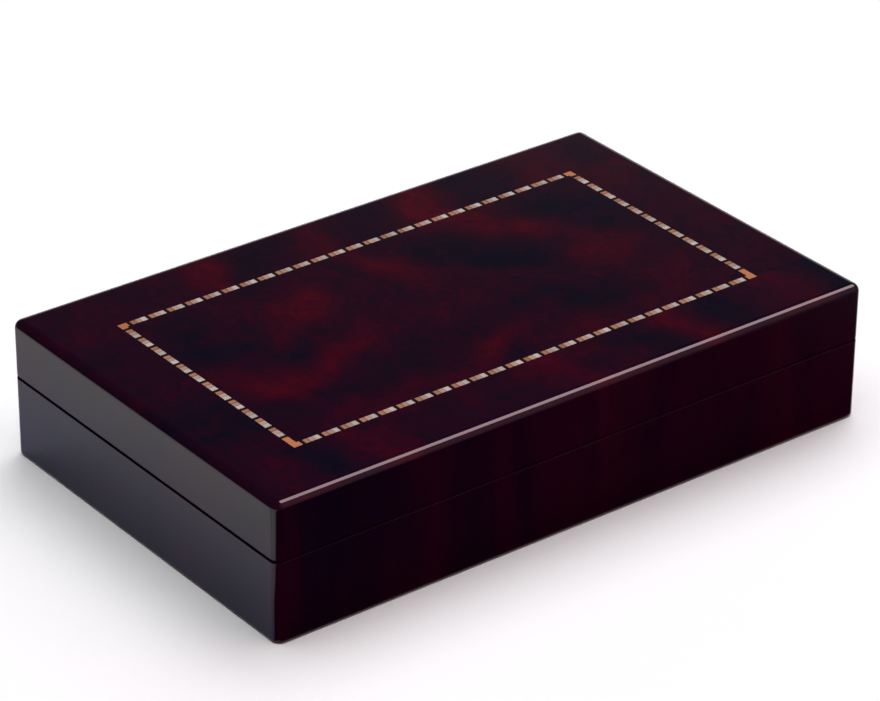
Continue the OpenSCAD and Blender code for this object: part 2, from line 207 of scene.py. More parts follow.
# a tile's ends are a little darker than its middle, and no two tiles have the same tone
def makeTile(name, dark, light):
    material, tree, shader = newMaterial(name)
    offMiddle = mathOf(tree, "ABSOLUTE", mathOf(tree, "SUBTRACT", attributeOf(tree, "along"), 0.5))
    middle = remapOf(tree, offMiddle, 0.28, 0.5, 0.45, 0.0, True)
    level = mathOf(tree, "ADD", middle, mathOf(tree, "MULTIPLY", attributeOf(tree, "tone"), 0.5))
    level = plusPattern(tree, level, noiseOf(tree, objectCoords(tree, (1, 0.3, 1)), 1100, 3, 0.6), 0.6)
    tree.links.new(rampOf(tree, level, [(0.0, dark), (1.0, light)]), shader.inputs["Base Color"])
    lacquerFinish(shader)
    return material


def makeWood(name, dark, light, scale, gloss, along=0):
    material, tree, shader = newMaterial(name, Roughness=gloss)
    stretch = [1, 1, 1]
    stretch[along] = 0.08
    rings = noiseOf(tree, objectCoords(tree, stretch), scale, 5, 0.6, 0.6)
    pores = noiseOf(tree, objectCoords(tree, stretch), scale * 9, 3, 0.7)
    level = plusPattern(tree, rings, pores, 0.35)
    tree.links.new(rampOf(tree, level, [(0.3, dark), (0.7, light)]), shader.inputs["Base Color"])
    bumpInto(tree, shader, pores, 0.25, 0.00006)
    return material


def makeMetal(name, colour, roughness):
    material, tree, shader = newMaterial(name, Metallic=1.0)
    scratches = noiseOf(tree, objectCoords(tree, (0.15, 1, 1)), 2400, 3, 0.7)
    tarnish = noiseOf(tree, objectCoords(tree), 140, 4, 0.6)
    rough = remapOf(tree, scratches, 0.3, 0.7, roughness - 0.05, roughness + 0.08)
    tree.links.new(rough, shader.inputs["Roughness"])
    worn = tuple(c * 0.72 for c in colour)
    tree.links.new(blendOf(tree, remapOf(tree, tarnish, 0.35, 0.7), worn, colour), shader.inputs["Base Color"])
    bumpInto(tree, shader, scratches, 0.12, 0.00003)
    return material


def makeCloth(name, dark, light, sheen, pile):
    material, tree, shader = newMaterial(name, Roughness=0.95)
    shader.inputs["Specular IOR Level"].default_value = 0.1
    shader.inputs["Sheen Weight"].default_value = sheen
    shader.inputs["Sheen Roughness"].default_value = 0.35
    shader.inputs["Sheen Tint"].default_value = (*light, 1)
    fibres = noiseOf(tree, objectCoords(tree), pile, 4, 0.7)
    brushed = noiseOf(tree, objectCoords(tree), 45, 4, 0.6, 1.0)
    level = plusPattern(tree, mathOf(tree, "MULTIPLY", fibres, 0.6), brushed, 0.45)
    tree.links.new(rampOf(tree, level, [(0.05, dark), (0.5, light)]), shader.inputs["Base Color"])
    bumpInto(tree, shader, fibres, 0.7, 0.0003)
    return material


def makePlastic(name, dark, light, roughness):
    material, tree, shader = newMaterial(name, Roughness=roughness)
    cloud = plusPattern(tree, noiseOf(tree, objectCoords(tree), 90, 4, 0.6), attributeOf(tree, "tone"), 0.3)
    tree.links.new(rampOf(tree, cloud, [(0.2, dark), (0.7, light)]), shader.inputs["Base Color"])
    shader.inputs["Subsurface Weight"].default_value = 0.08
    shader.inputs["Subsurface Radius"].default_value = (0.002, 0.0015, 0.001)
    bumpInto(tree, shader, noiseOf(tree, objectCoords(tree), 2200, 2, 0.5), 0.05, 0.00004)
    return material


# ivory with painted pips: the attribute "pip" is above a half inside a pip
def makePipped(name, dark, light):
    material = makePlastic(name, dark, light, 0.22)
    tree = material.node_tree
    shader = tree.nodes["Principled BSDF"]
    body = shader.inputs["Base Color"].links[0].from_socket
    inside = remapOf(tree, attributeOf(tree, "pip"), 0.42, 0.58, 0.0, 1.0, True)
    tree.links.new(blendOf(tree, inside, body, (0.012, 0.011, 0.012)), shader.inputs["Base Color"])
    return material


# back of a playing card: white edge, a frame line and a lattice with dots, centred on the pack
def makeCardBack(name, centre, ink, size=(63, 88)):
    material, tree, shader = newMaterial(name, Roughness=0.42)
    spot = objectCoords(tree, (1000, 1000, 1000), (0, 0, 0), (-centre[0], -centre[1], 0))
    axes = addNode(tree, "ShaderNodeSeparateXYZ", {0: spot}).outputs
    facing = addNode(tree, "ShaderNodeSeparateXYZ", {0: addNode(tree, "ShaderNodeNewGeometry").outputs["Normal"]})
    across, down = mathOf(tree, "ABSOLUTE", axes[0]), mathOf(tree, "ABSOLUTE", axes[1])
    border = mathOf(tree, "MINIMUM", mathOf(tree, "SUBTRACT", size[0] / 2, across),
                    mathOf(tree, "SUBTRACT", size[1] / 2, down))
    cell = 5.2
    slopes = [mathOf(tree, "MULTIPLY", mathOf(tree, way, axes[0], axes[1]), math.pi / cell) for way in ("ADD", "SUBTRACT")]
    weaves = [mathOf(tree, "ABSOLUTE", mathOf(tree, "SINE", slope)) for slope in slopes]
    lattice = remapOf(tree, mathOf(tree, "MINIMUM", *weaves), 0.12, 0.22, 1.0, 0.0)
    dots = remapOf(tree, mathOf(tree, "MULTIPLY", *weaves), 0.9, 0.95, 0.0, 1.0)
    frameLine = remapOf(tree, mathOf(tree, "ABSOLUTE", mathOf(tree, "SUBTRACT", border, 5.2)), 0.25, 0.4, 1.0, 0.0)
    edge = remapOf(tree, border, 3.4, 3.6, 1.0, 0.0)
    insideFrame = remapOf(tree, border, 5.2, 5.3, 0.0, 1.0)
    white = mathOf(tree, "MULTIPLY", mathOf(tree, "MAXIMUM", lattice, dots), insideFrame)
    white = mathOf(tree, "MAXIMUM", mathOf(tree, "MAXIMUM", white, frameLine), edge)
    flat = remapOf(tree, facing.outputs[2], 0.6, 0.7, 1.0, 0.0)
    white = mathOf(tree, "MAXIMUM", white, flat)
    paper = rampOf(tree, noiseOf(tree, objectCoords(tree, (1, 1, 6)), 500, 3, 0.6),
                   [(0.3, (0.66, 0.63, 0.57)), (0.7, (0.8, 0.78, 0.73))])
    tree.links.new(blendOf(tree, white, ink, paper), shader.inputs["Base Color"])
    bumpInto(tree, shader, noiseOf(tree, objectCoords(tree), 3000, 2, 0.5), 0.08, 0.00005)
    return material


# places of the packs in the tray, in millimetres
packs = {
    "names": ["card_pack_left", "card_pack_right"], "middles": [(-101.9, 32.9), (-32.9, 32.9)],
    "inks": [(0.42, 0.02, 0.03), (0.02, 0.06, 0.28)],
    "width": 63, "length": 88, "corner": 3.5, "low": 16, "high": 33.5,
    "cards": 54, "cardShare": 0.9,  # share of each card's step that is card
    "slip": 0.1, "twist": 0.1, "seed": 11,
}

finishes = {
    "top": makeTopVeneer(),
    "side": makeSideVeneer("burlSide", 0.78),
    "rim": makeSideVeneer("burlRim", 0.12),
    "inlayBlack": makeTile("inlayBlack", (0.004, 0.003, 0.004), (0.012, 0.009, 0.009)),
    "inlayOrange": makeTile("inlayOrange", (0.18, 0.085, 0.05), (0.40, 0.19, 0.12)),
    "inlayCorner": makeTile("inlayCorner", (0.28, 0.095, 0.04), (0.50, 0.19, 0.09)),
    "inlayBrown": makeTile("inlayBrown", (0.05, 0.02, 0.012), (0.11, 0.05, 0.03)),
    "inlayTan": makeTile("inlayTan", (0.24, 0.155, 0.12), (0.44, 0.30, 0.24)),
    "inlayPearl": makeTile("inlayPearl", (0.28, 0.24, 0.21), (0.52, 0.46, 0.43)),
    "walnut": makeWood("walnut", (0.035, 0.014, 0.007), (0.15, 0.065, 0.03), 60, 0.38),
    "walnutCross": makeWood("walnutCross", (0.035, 0.014, 0.007), (0.15, 0.065, 0.03), 60, 0.38, 1),
    "plywood": makeWood("plywood", (0.4, 0.26, 0.13), (0.62, 0.45, 0.27), 45, 0.6),
    "brass": makeMetal("brass", (0.86, 0.62, 0.28), 0.24),
    "nickel": makeMetal("nickel", (0.72, 0.71, 0.69), 0.2),
    "felt": makeCloth("felt", (0.006, 0.006, 0.008), (0.02, 0.02, 0.024), 0.2, 1500),
    "velvet": makeCloth("velvet", (0.045, 0.003, 0.008), (0.17, 0.010, 0.022), 0.5, 2600),
    "ivory": makePipped("ivory", (0.62, 0.53, 0.36), (0.80, 0.74, 0.58)),
    "pipPaint": makePlastic("pipPaint", (0.010, 0.009, 0.010), (0.02, 0.019, 0.02), 0.3),
}
for number, middle in enumerate(packs["middles"]):
    finishes[packs["names"][number]] = makeCardBack("cardBack%d" % number, middle, packs["inks"][number])
print("materials made:", len(finishes))


# mesh helpers

def newObject(name, bm, materials, body, replaced=(), sharpAngle=30):
    mesh = bpy.data.meshes.new(name)
    bm.to_mesh(mesh)
    bm.free()
    return wrapMesh(name, mesh, materials, body, replaced, sharpAngle)


def wrapMesh(name, mesh, materials, body, replaced=(), sharpAngle=30):
    piece = bpy.data.objects.new(name, mesh)
    bpy.context.scene.collection.objects.link(piece)
    mesh.materials.clear()
    for material in materials:
        mesh.materials.append(finishes[material])
    mesh.shade_smooth()
    mesh.set_sharp_from_angle(angle=math.radians(sharpAngle))
    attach(piece, body)
    if replaced:
        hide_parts(*replaced)
    return piece


def arcPoints(centreInset, centreZ, radius, start, end, steps):
    points = []
    for i in range(steps + 1):
        angle = math.radians(start + (end - start) * i / steps)
        points.append((centreInset - radius * math.cos(angle), centreZ + radius * math.sin(angle)))
    return points


# coordinates along a side: even steps, strips beside the corners, and the inlay's edges
def sideSteps(half, bandHalf):
    straight = half - case["cornerRadius"]
    marks = {straight, straight - case["support"]}
    marks |= {bandHalf - inlay["width"] / 2, bandHalf + inlay["width"] / 2}
    count = int(straight // case["gridStep"])
    for i in range(count + 1):
        place = straight * i / (count + 0.5)
        if min(abs(place - m) for m in marks) > 0.6:
            marks.add(place)
    return sorted({round(m, 4) for m in marks} | {round(-m, 4) for m in marks})


stepsX = sideSteps(halfL, bandX)
stepsY = sideSteps(halfW, bandY)


# closed ring of points round the case, moved inwards by inset
def ringPoints(inset):
    radius = case["cornerRadius"]
    limitX, limitY = halfL - max(inset, radius), halfW - max(inset, radius)
    arcRadius = max(radius - inset, 0)

    def held(value, limit):
        return max(-limit, min(limit, value))

    def corner(signX, signY, start):
        points = []
        for i in range(1, case["arcSteps"]):
            angle = math.radians(start + 90 * i / case["arcSteps"])
            points.append((signX * limitX + arcRadius * math.cos(angle),
                           signY * limitY + arcRadius * math.sin(angle)))
        return points

    ring = [(held(x, limitX), -halfW + inset) for x in stepsX] + corner(1, -1, -90)
    ring += [(halfL - inset, held(y, limitY)) for y in stepsY] + corner(1, 1, 0)
    ring += [(held(x, limitX), halfW - inset) for x in reversed(stepsX)] + corner(-1, 1, 90)
    ring += [(-halfL + inset, held(y, limitY)) for y in reversed(stepsY)] + corner(-1, -1, 180)
    return ring


def joinRings(bm, rings, closed):
    pairs = list(zip(rings, rings[1:])) + ([(rings[-1], rings[0])] if closed else [])
    for lower, upper in pairs:
        for i in range(len(lower)):
            j = (i + 1) % len(lower)
            bm.faces.new((lower[i], lower[j], upper[j], upper[i]))
    return rings


def sweepRings(bm, profile, closed):
    rings = [[bm.verts.new((x * mm, y * mm, z * mm)) for x, y in ringPoints(inset)] for inset, z in profile]
    return joinRings(bm, rings, closed)


# flat top between the round edges, with a groove along the inlay
def topGrid(bm, z):
    def depthAt(x, y):
        reach = inlay["width"] / 2
        outside = abs(x) < bandX + reach and abs(y) < bandY + reach
        inside = abs(x) < bandX - reach and abs(y) < bandY - reach
        return inlay["depth"] if outside and not inside else 0

    corners = {}

    def corner(i, j, depth):
        key = (i, j, depth)
        if key not in corners:
            corners[key] = bm.verts.new((stepsX[i] * mm, stepsY[j] * mm, (z - depth) * mm))
        return corners[key]

    columns, rows = len(stepsX) - 1, len(stepsY) - 1
    depths = {}
    for i in range(columns):
        for j in range(rows):
            depths[i, j] = depthAt((stepsX[i] + stepsX[i + 1]) / 2, (stepsY[j] + stepsY[j + 1]) / 2)
            around = ((i, j), (i + 1, j), (i + 1, j + 1), (i, j + 1))
            bm.faces.new([corner(a, b, depths[i, j]) for a, b in around])
    for (i, j), depth in depths.items():
        for beside, first, second in (((i + 1, j), (i + 1, j), (i + 1, j + 1)), ((i, j + 1), (i, j + 1), (i + 1, j + 1))):
            if beside in depths and depths[beside] != depth:
                bm.faces.new((corner(*first, depth), corner(*second, depth),
                              corner(*second, depths[beside]), corner(*first, depths[beside])))


def closeUp(bm):
    bmesh.ops.remove_doubles(bm, verts=bm.verts, dist=0.000004)
    bmesh.ops.recalc_face_normals(bm, faces=bm.faces)


def cutterObject(bm):
    mesh = bpy.data.meshes.new("cutter")
    bm.to_mesh(mesh)
    bm.free()
    cutter = bpy.data.objects.new("cutter", mesh)
    bpy.context.scene.collection.objects.link(cutter)
    return cutter


def boxCutter(low, high):
    bm = bmesh.new()
    bmesh.ops.create_cube(bm, size=1)
    low, high = Vector(low) * mm, Vector(high) * mm
    for v in bm.verts:
        v.co = Vector((low[k] + (v.co[k] + 0.5) * (high[k] - low[k]) for k in range(3)))
    return cutterObject(bm)


def roundCutter(centre, radius, length, alongX):
    bm = bmesh.new()
    bmesh.ops.create_cone(bm, cap_ends=True, segments=40, radius1=radius * mm, radius2=radius * mm, depth=length * mm)
    turn = Matrix.Rotation(math.pi / 2, 4, "Y") if alongX else Matrix.Identity(4)
    bmesh.ops.transform(bm, matrix=Matrix.Translation(Vector(centre) * mm) @ turn, verts=bm.verts)
    return cutterObject(bm)


def dropObject(thing):
    mesh = thing.data
    bpy.data.objects.remove(thing)
    bpy.data.meshes.remove(mesh)


def cutAway(piece, cutters):
    for cutter in cutters:
        modifier = piece.modifiers.new("cut", "BOOLEAN")
        modifier.operation = "DIFFERENCE"
        modifier.solver = "EXACT"
        modifier.object = cutter
    carved = bpy.data.meshes.new_from_object(piece.evaluated_get(bpy.context.evaluated_depsgraph_get()))
    piece.modifiers.clear()
    old = piece.data
    piece.data = carved
    carved.name = piece.name
    bpy.data.meshes.remove(old)
    for cutter in cutters:
        dropObject(cutter)


# lid and base shells

hinge = {"x": 88, "length": 26, "leafDepth": 7.5, "leafThick": 1, "barrel": 2.1, "play": 0.35,
         "out": 0.4, "gap": 0.05, "seam": 36.9}
catch = {"x": 60, "radius": 3, "magnet": 3, "plate": 1.5}


def hingeCutters(side):
    cutters = []
    y = halfW + hinge["out"]
    for sign in (-1, 1):
        x = sign * hinge["x"]
        cutters.append(roundCutter((x, y, hinge["seam"]), hinge["barrel"] + hinge["play"],
                                   hinge["length"] + 2 * hinge["play"], True))
        inner = hinge["seam"] + side * (hinge["gap"] + hinge["leafThick"])
        outer = hinge["seam"] - side * 2
        cutters.append(boxCutter((x - hinge["length"] / 2, halfW - hinge["leafDepth"], min(inner, outer)),
                                 (x + hinge["length"] / 2, halfW + 1, max(inner, outer))))
    return cutters


def catchCutters(z, height, side):
    middle = z + side * (height - 1) / 2
    y = -halfW + case["baseWall"] / 2
    return [roundCutter((sign * catch["x"], y, middle), catch["radius"], height + 1, False) for sign in (-1, 1)]


# colours a shell's faces: 0 on the flat top and its round edge, 1 on the sides, 2 inside, 3 on the rim at the seam
def sortFaces(piece, innerInset, topFrom):
    for face in piece.data.polygons:
        centre, normal = face.center / mm, face.normal
        deep = min(halfL - abs(centre.x), halfW - abs(centre.y))
        if normal.z > 0.3 and centre.z > topFrom:
            face.material_index = 0
        elif deep > innerInset - 0.2:
            face.material_index = 2
        elif abs(normal.z) > 0.15 and abs(centre.z - hinge["seam"]) < 1.2:
            face.material_index = 3
        else:
            face.material_index = 1


# the burl's figure, listed: x, y, half-length, half-width in mm, turn in degrees, strength
clouds = [
    (55, 50, 34, 10, -55, 0.62), (72, 28, 12, 9, -40, 0.3), (80, -7, 16, 10, 10, 0.5), (97, 2, 14, 8, 40, 0.25),
    (-105, -6, 12, 6, -75, 0.35), (-92, -19, 14, 7, -25, 0.5), (-72, -15, 16, 6, 12, 0.5),
    (-50, -5, 16, 7, 25, 0.5), (-43, 33, 12, 7, 35, 0.5), (-62, 20, 20, 9, 25, 0.38), (-62, 48, 14, 7, -60, 0.3),
    (-2, 45, 16, 7, -60, 0.35), (6, 25, 20, 8, -80, 0.38), (-55, -53, 34, 5, 2, 0.32), (2, -40, 18, 5, 30, 0.38),
    (-15, -50, 14, 5, 20, 0.3), (32, -52, 8, 14, 0, 0.35), (76, -48, 16, 7, 30, 0.4), (95, -36, 14, 7, 35, 0.2),
    (10, -5, 16, 7, 10, 0.2), (32, 8, 12, 6, -35, 0.2),
]
# dark eyes and folds of the same figure
shades = [
    (-98, 38, 20, 8, 80, 0.4), (-90, 12, 22, 7, -40, 0.35), (-70, 3, 16, 5, 20, 0.3), (-57, 52, 9, 6, 40, 0.35),
    (28, 35, 18, 9, -40, 0.4), (50, 12, 20, 9, -40, 0.45), (95, 38, 18, 16, 40, 0.45), (110, 12, 14, 12, 80, 0.35),
    (50, -30, 22, 10, -30, 0.4), (-2, -53, 9, 5, 40, 0.35), (-75, -36, 34, 9, 8, 0.3), (-30, -30, 28, 8, 15, 0.2),
]
# crossbanded border: stripes as place along the side, half-width, strength
borders = {
    "back": [(-67, 9, 0.5), (-42, 12, -0.3), (-15, 10, 0.28), (12, 13, -0.2), (42, 12, 0.62), (70, 12, -0.3),
             (107, 14, 0.32), (137, 10, -0.1)],
    "front": [(-137, 9, 0.15), (-117, 9, -0.4), (-96, 8, 0.3), (-67, 14, -0.1), (0, 12, 0.45), (45, 8, -0.35),
              (63, 11, 0.5), (87, 10, -0.35), (117, 8, 0.32), (140, 9, -0.4)],
    "left": [(-25, 18, -0.35), (40, 15, -0.1), (78, 14, 0.2)],
    "right": [(55, 20, 0.15), (0, 25, 0.05)],
}
figure = {"ground": 0.35, "warpSize": 22, "warp": 8, "lean": 0.25, "spread": 1.2, "strength": 0.58,
          "borderStrength": 0.72}


def hillAt(x, y, spot):
    spotX, spotY, long, wide, turn, strength = spot
    angle = math.radians(turn)
    u = ((x - spotX) * math.cos(angle) + (y - spotY) * math.sin(angle)) / (long * figure["spread"])
    v = (-(x - spotX) * math.sin(angle) + (y - spotY) * math.cos(angle)) / (wide * figure["spread"])
    return strength * figure["strength"] * math.exp(-(u * u + v * v))


def rednessAt(x, y):
    push = noise.noise_vector(Vector((x, y, 0)) / figure["warpSize"]) * figure["warp"]
    seenX, seenY = x + push.x, y + push.y
    if abs(x) < bandX and abs(y) < bandY:
        change = sum(hillAt(seenX, seenY, s) for s in clouds) - sum(hillAt(seenX, seenY, s) for s in shades)
    else:
        if abs(y) > bandY:
            side, run = ("back" if y > 0 else "front"), seenX - figure["lean"] * (abs(y) - bandY)
        else:
            side, run = ("right" if x > 0 else "left"), seenY
        change = sum(strength * math.exp(-((run - place) / wide) ** 2) for place, wide, strength in borders[side])
        change *= figure["borderStrength"]
    return max(0.0, min(1.0, figure["ground"] + change))


def paintRedness(piece):
    values = [rednessAt(v.co.x / mm, v.co.y / mm) for v in piece.data.vertices]
    piece.data.attributes.new("redness", "FLOAT", "POINT").data.foreach_set("value", values)


def makeLid():
    top, radius, rim = case["height"], case["topRadius"], case["rimRadius"]
    rimZ, support = case["lidRim"], case["support"]
    profile = [(case["lidWall"], top - case["panel"]), (case["lidWall"], rimZ), (rim + support, rimZ)]
    profile += arcPoints(rim, rimZ + rim, rim, -90, 0, 6) + [(0, rimZ + rim + support)]
    profile += [(0, top - radius - support)] + arcPoints(radius, top - radius, radius, 0, 90, 16)
    profile += [(case["cornerRadius"], top)]
    bm = bmesh.new()
    rings = sweepRings(bm, profile, False)
    bm.faces.new(rings[0])
    topGrid(bm, top)
    closeUp(bm)
    names = ("lid_top_panel", "lid_front_wall", "lid_back_wall", "lid_left_wall", "lid_right_wall")
    lid = newObject("lidShell", bm, ["top", "side", "walnut", "rim"], "lid", names)
    cutAway(lid, hingeCutters(1) + catchCutters(rimZ, catch["plate"], 1))
    lid.data.set_sharp_from_angle(angle=math.radians(30))
    sortFaces(lid, case["lidWall"], top - radius - support)
    paintRedness(lid)


def makeBase():
    rim, rimZ, support = case["rimRadius"], case["baseRim"], case["support"]
    foot, low = case["footRadius"], case["feltThick"]
    profile = [(case["baseWall"], rimZ), (case["baseWall"], case["floorTop"]), (case["rebateDepth"], case["floorTop"]),
               (case["rebateDepth"], low), (foot + support, low)]
    profile += arcPoints(foot, low + foot, foot, -90, 0, 6) + [(0, low + foot + support), (0, rimZ - rim - support)]
    profile += arcPoints(rim, rimZ - rim, rim, 0, 90, 6) + [(rim + support, rimZ)]
    bm = bmesh.new()
    sweepRings(bm, profile, True)
    closeUp(bm)
    names = ("base_front_wall", "base_back_wall", "base_left_wall", "base_right_wall")
    base = newObject("baseShell", bm, ["side", "side", "walnut", "rim"], "base", names)
    cutAway(base, hingeCutters(-1) + catchCutters(rimZ, catch["magnet"], -1))
    base.data.set_sharp_from_angle(angle=math.radians(30))
    sortFaces(base, case["baseWall"], case["height"])


makeLid()
makeBase()
print("shells made")


# geometry trees: a run of equal tiles, and one shape at every given point

def newTree(name, inputs):
    tree = bpy.data.node_groups.new(name, "GeometryNodeTree")
    for label, kind in [("Geometry", "Geometry")] + inputs + [("Seed", "Int"), ("Material", "Material")]:
        tree.interface.new_socket(label, in_out="INPUT", socket_type="NodeSocket" + kind)
    tree.interface.new_socket("Geometry", in_out="OUTPUT", socket_type="NodeSocketGeometry")
    return tree, addNode(tree, "NodeGroupInput").outputs


# gives each copy its own tone, then makes the copies real and sets their material
def finishTree(tree, given, laid):
    chance = addNode(tree, "FunctionNodeRandomValue", {"Seed": given["Seed"]}, data_type="FLOAT")
    toned = addNode(tree, "GeometryNodeStoreNamedAttribute",
                    {"Geometry": laid.outputs[0], "Name": "tone", "Value": chance.outputs[1]},
                    data_type="FLOAT", domain="INSTANCE")
    real = addNode(tree, "GeometryNodeRealizeInstances", {"Geometry": toned.outputs[0]})
    done = addNode(tree, "GeometryNodeSetMaterial", {"Geometry": real.outputs[0], "Material": given["Material"]})
    addNode(tree, "NodeGroupOutput", {"Geometry": done.outputs[0]})
    return tree


def makeTileTree():
    sizes = [("Count", "Int"), ("Pitch", "Float"), ("Tile Length", "Float"), ("Tile Width", "Float"), ("Tile Depth", "Float")]
    tree, given = newTree("tileRun", sizes)
    size = addNode(tree, "ShaderNodeCombineXYZ", {0: given["Tile Length"], 1: given["Tile Width"], 2: given["Tile Depth"]})
    tile = addNode(tree, "GeometryNodeMeshCube", {"Size": size.outputs[0], "Vertices X": 5})
    place = addNode(tree, "ShaderNodeSeparateXYZ", {0: addNode(tree, "GeometryNodeInputPosition").outputs[0]})
    share = mathOf(tree, "ADD", mathOf(tree, "DIVIDE", place.outputs[0], given["Tile Length"]), 0.5)
    named = addNode(tree, "GeometryNodeStoreNamedAttribute",
                    {"Geometry": tile.outputs["Mesh"], "Name": "along", "Value": share}, data_type="FLOAT", domain="POINT")
    step = addNode(tree, "ShaderNodeCombineXYZ", {0: given["Pitch"]})
    line = addNode(tree, "GeometryNodeMeshLine", {"Count": given["Count"], "Offset": step.outputs[0]}, mode="OFFSET")
    laid = addNode(tree, "GeometryNodeInstanceOnPoints", {"Points": line.outputs[0], "Instance": named.outputs[0]})
    return finishTree(tree, given, laid)


# the points come as the carrier's mesh; Slip moves and Twist turns each copy by chance
def makePlaceTree():
    tree, given = newTree("shapeAtPoints", [("Shape", "Object"), ("Slip", "Float"), ("Twist", "Float")])
    shape = addNode(tree, "GeometryNodeObjectInfo", {"Object": given["Shape"]}).outputs["Geometry"]

    def swing(amount, shift):
        seed = mathOf(tree, "ADD", given["Seed"], shift)
        low = mathOf(tree, "MULTIPLY", amount, -1.0)
        node = addNode(tree, "FunctionNodeRandomValue", {2: low, 3: amount, "Seed": seed}, data_type="FLOAT")
        return node.outputs[1]

    move = addNode(tree, "ShaderNodeCombineXYZ", {0: swing(given["Slip"], 1.0), 1: swing(given["Slip"], 2.0)})
    moved = addNode(tree, "GeometryNodeSetPosition", {"Geometry": given["Geometry"], "Offset": move.outputs[0]})
    turn = addNode(tree, "ShaderNodeCombineXYZ", {2: swing(given["Twist"], 3.0)})
    spin = addNode(tree, "FunctionNodeEulerToRotation", {0: turn.outputs[0]})
    laid = addNode(tree, "GeometryNodeInstanceOnPoints",
                   {"Points": moved.outputs[0], "Instance": shape, "Rotation": spin.outputs[0]})
    return finishTree(tree, given, laid)


tileTree = makeTileTree()
placeTree = makePlaceTree()


# evaluates a geometry tree once on the given points and returns the plain mesh
def growMesh(tree, values, points=()):
    seedMesh = bpy.data.meshes.new("carrier")
    seedMesh.from_pydata([Vector(p) * mm for p in points], [], [])
    carrier = bpy.data.objects.new("carrier", seedMesh)
    bpy.context.scene.collection.objects.link(carrier)
    modifier = carrier.modifiers.new("grow", "NODES")
    modifier.node_group = tree
    sockets = {s.name: s.identifier for s in tree.interface.items_tree if s.in_out == "INPUT"}
    for name, value in values.items():
        modifier[sockets[name]] = value
    mesh = bpy.data.meshes.new_from_object(carrier.evaluated_get(bpy.context.evaluated_depsgraph_get()))
    dropObject(carrier)
    return mesh


# repeats one shape at the given points, in millimetres
def repeatShape(bm, points, finish, seed, slip=0.0, twist=0.0):
    shape = cutterObject(bm)
    values = {"Shape": shape, "Slip": slip * mm, "Twist": math.radians(twist), "Seed": seed,
              "Material": finishes[finish]}
    mesh = growMesh(placeTree, values, points)
    dropObject(shape)
    return mesh


# joins meshes into one; each takes the material at its own place in the piece's list
def joinMeshes(meshes, indices, places=None):
    bm = bmesh.new()
    for number, (mesh, index) in enumerate(zip(meshes, indices)):
        if places:
            mesh.transform(places[number])
        before = len(bm.faces)
        bm.from_mesh(mesh)
        bm.faces.ensure_lookup_table()
        for face in bm.faces[before:]:
            face.material_index = index
        bpy.data.meshes.remove(mesh)
    joined = bpy.data.meshes.new("joined")
    bm.to_mesh(joined)
    bm.free()
    return joined


# inlay

# first black strip of each side of the band, and the way the side runs
def bandSides():
    z = case["height"] - inlay["depth"] / 2
    sides = []
    for sign in (-1, 1):
        start = Vector((-bandX + inlay["cornerRun"], sign * bandY, z)) * mm
        sides.append((inlay["repeatsLong"], Matrix.Translation(start)))
    for sign in (-1, 1):
        start = Vector((sign * bandX, bandY - inlay["cornerRun"], z)) * mm
        sides.append((repeatsShort, Matrix.Translation(start) @ Matrix.Rotation(-math.pi / 2, 4, "Z")))
    return sides


def makeInlay():
    start = -inlay["black"] / 2
    pearl = pitch - inlay["black"] - inlay["orange"] - inlay["brown"] - inlay["tan"]
    kinds = [
        ("inlayStrips", "inlayBlack", "inlay_black", "inlay_black_strips", inlay["black"], 1),
        ("inlayOrangeTiles", "inlayOrange", "inlay_orange", "inlay_orange_tiles", inlay["orange"], 0),
        ("inlayBrownLines", "inlayBrown", "inlay_brown", "inlay_dark_lines", inlay["brown"], 0),
        ("inlayTanTiles", "inlayTan", "inlay_tan", "inlay_tan_tiles", inlay["tan"], 0),
        ("inlayPearlTiles", "inlayPearl", "inlay_pearl", "inlay_pearl_tiles", pearl, 0),
    ]
    for number, (name, finish, slot, node, length, extra) in enumerate(kinds):
        meshes, places = [], []
        for side, (repeats, place) in enumerate(bandSides()):
            values = {"Count": repeats + extra, "Pitch": pitch * mm, "Tile Length": length * mm,
                      "Tile Width": inlay["width"] * mm, "Tile Depth": inlay["depth"] * mm,
                      "Seed": inlay["seed"] + number * 10 + side, "Material": finishes[finish]}
            meshes.append(growMesh(tileTree, values))
            places.append(place @ Matrix.Translation(Vector((start + length / 2, 0, 0)) * mm))
        wrapMesh(name, joinMeshes(meshes, [0] * 4, places), [finish], "lid", [node])
        start += length


# L-shaped corner tiles, longer towards the back on the front corners
def makeInlayCorners():
    bm = bmesh.new()
    along, tone = bm.verts.layers.float.new("along"), bm.verts.layers.float.new("tone")
    reach, top = inlay["width"] / 2, case["height"]
    legX = inlay["cornerRun"] - inlay["black"] / 2
    restY = 2 * bandY - inlay["cornerRun"] - repeatsShort * pitch - inlay["black"] / 2
    for signX in (-1, 1):
        for signY in (-1, 1):
            legY = legX if signY > 0 else restY
            outline = [(reach, reach), (reach, -legY), (-reach, -legY), (-reach, -reach), (-legX, -reach), (-legX, reach)]
            low, high = [], []
            for x, y in outline:
                spot = Vector((signX * (bandX + x), signY * (bandY + y), top)) * mm
                high.append(bm.verts.new(spot))
                low.append(bm.verts.new(spot - Vector((0, 0, inlay["depth"] * mm))))
            bm.faces.new(high)
            bm.faces.new(low)
            for i in range(len(outline)):
                j = (i + 1) % len(outline)
                bm.faces.new((high[i], high[j], low[j], low[i]))
            for vert in high + low:
                vert[along] = 0.5
                vert[tone] = 0.15 if signX < 0 < signY else 0.8
    bmesh.ops.recalc_face_normals(bm, faces=bm.faces)
    newObject("inlayCorners", bm, ["inlayCorner"], "lid", ["inlay_corner_tiles"])


makeInlay()
makeInlayCorners()
print("inlay laid")


# games

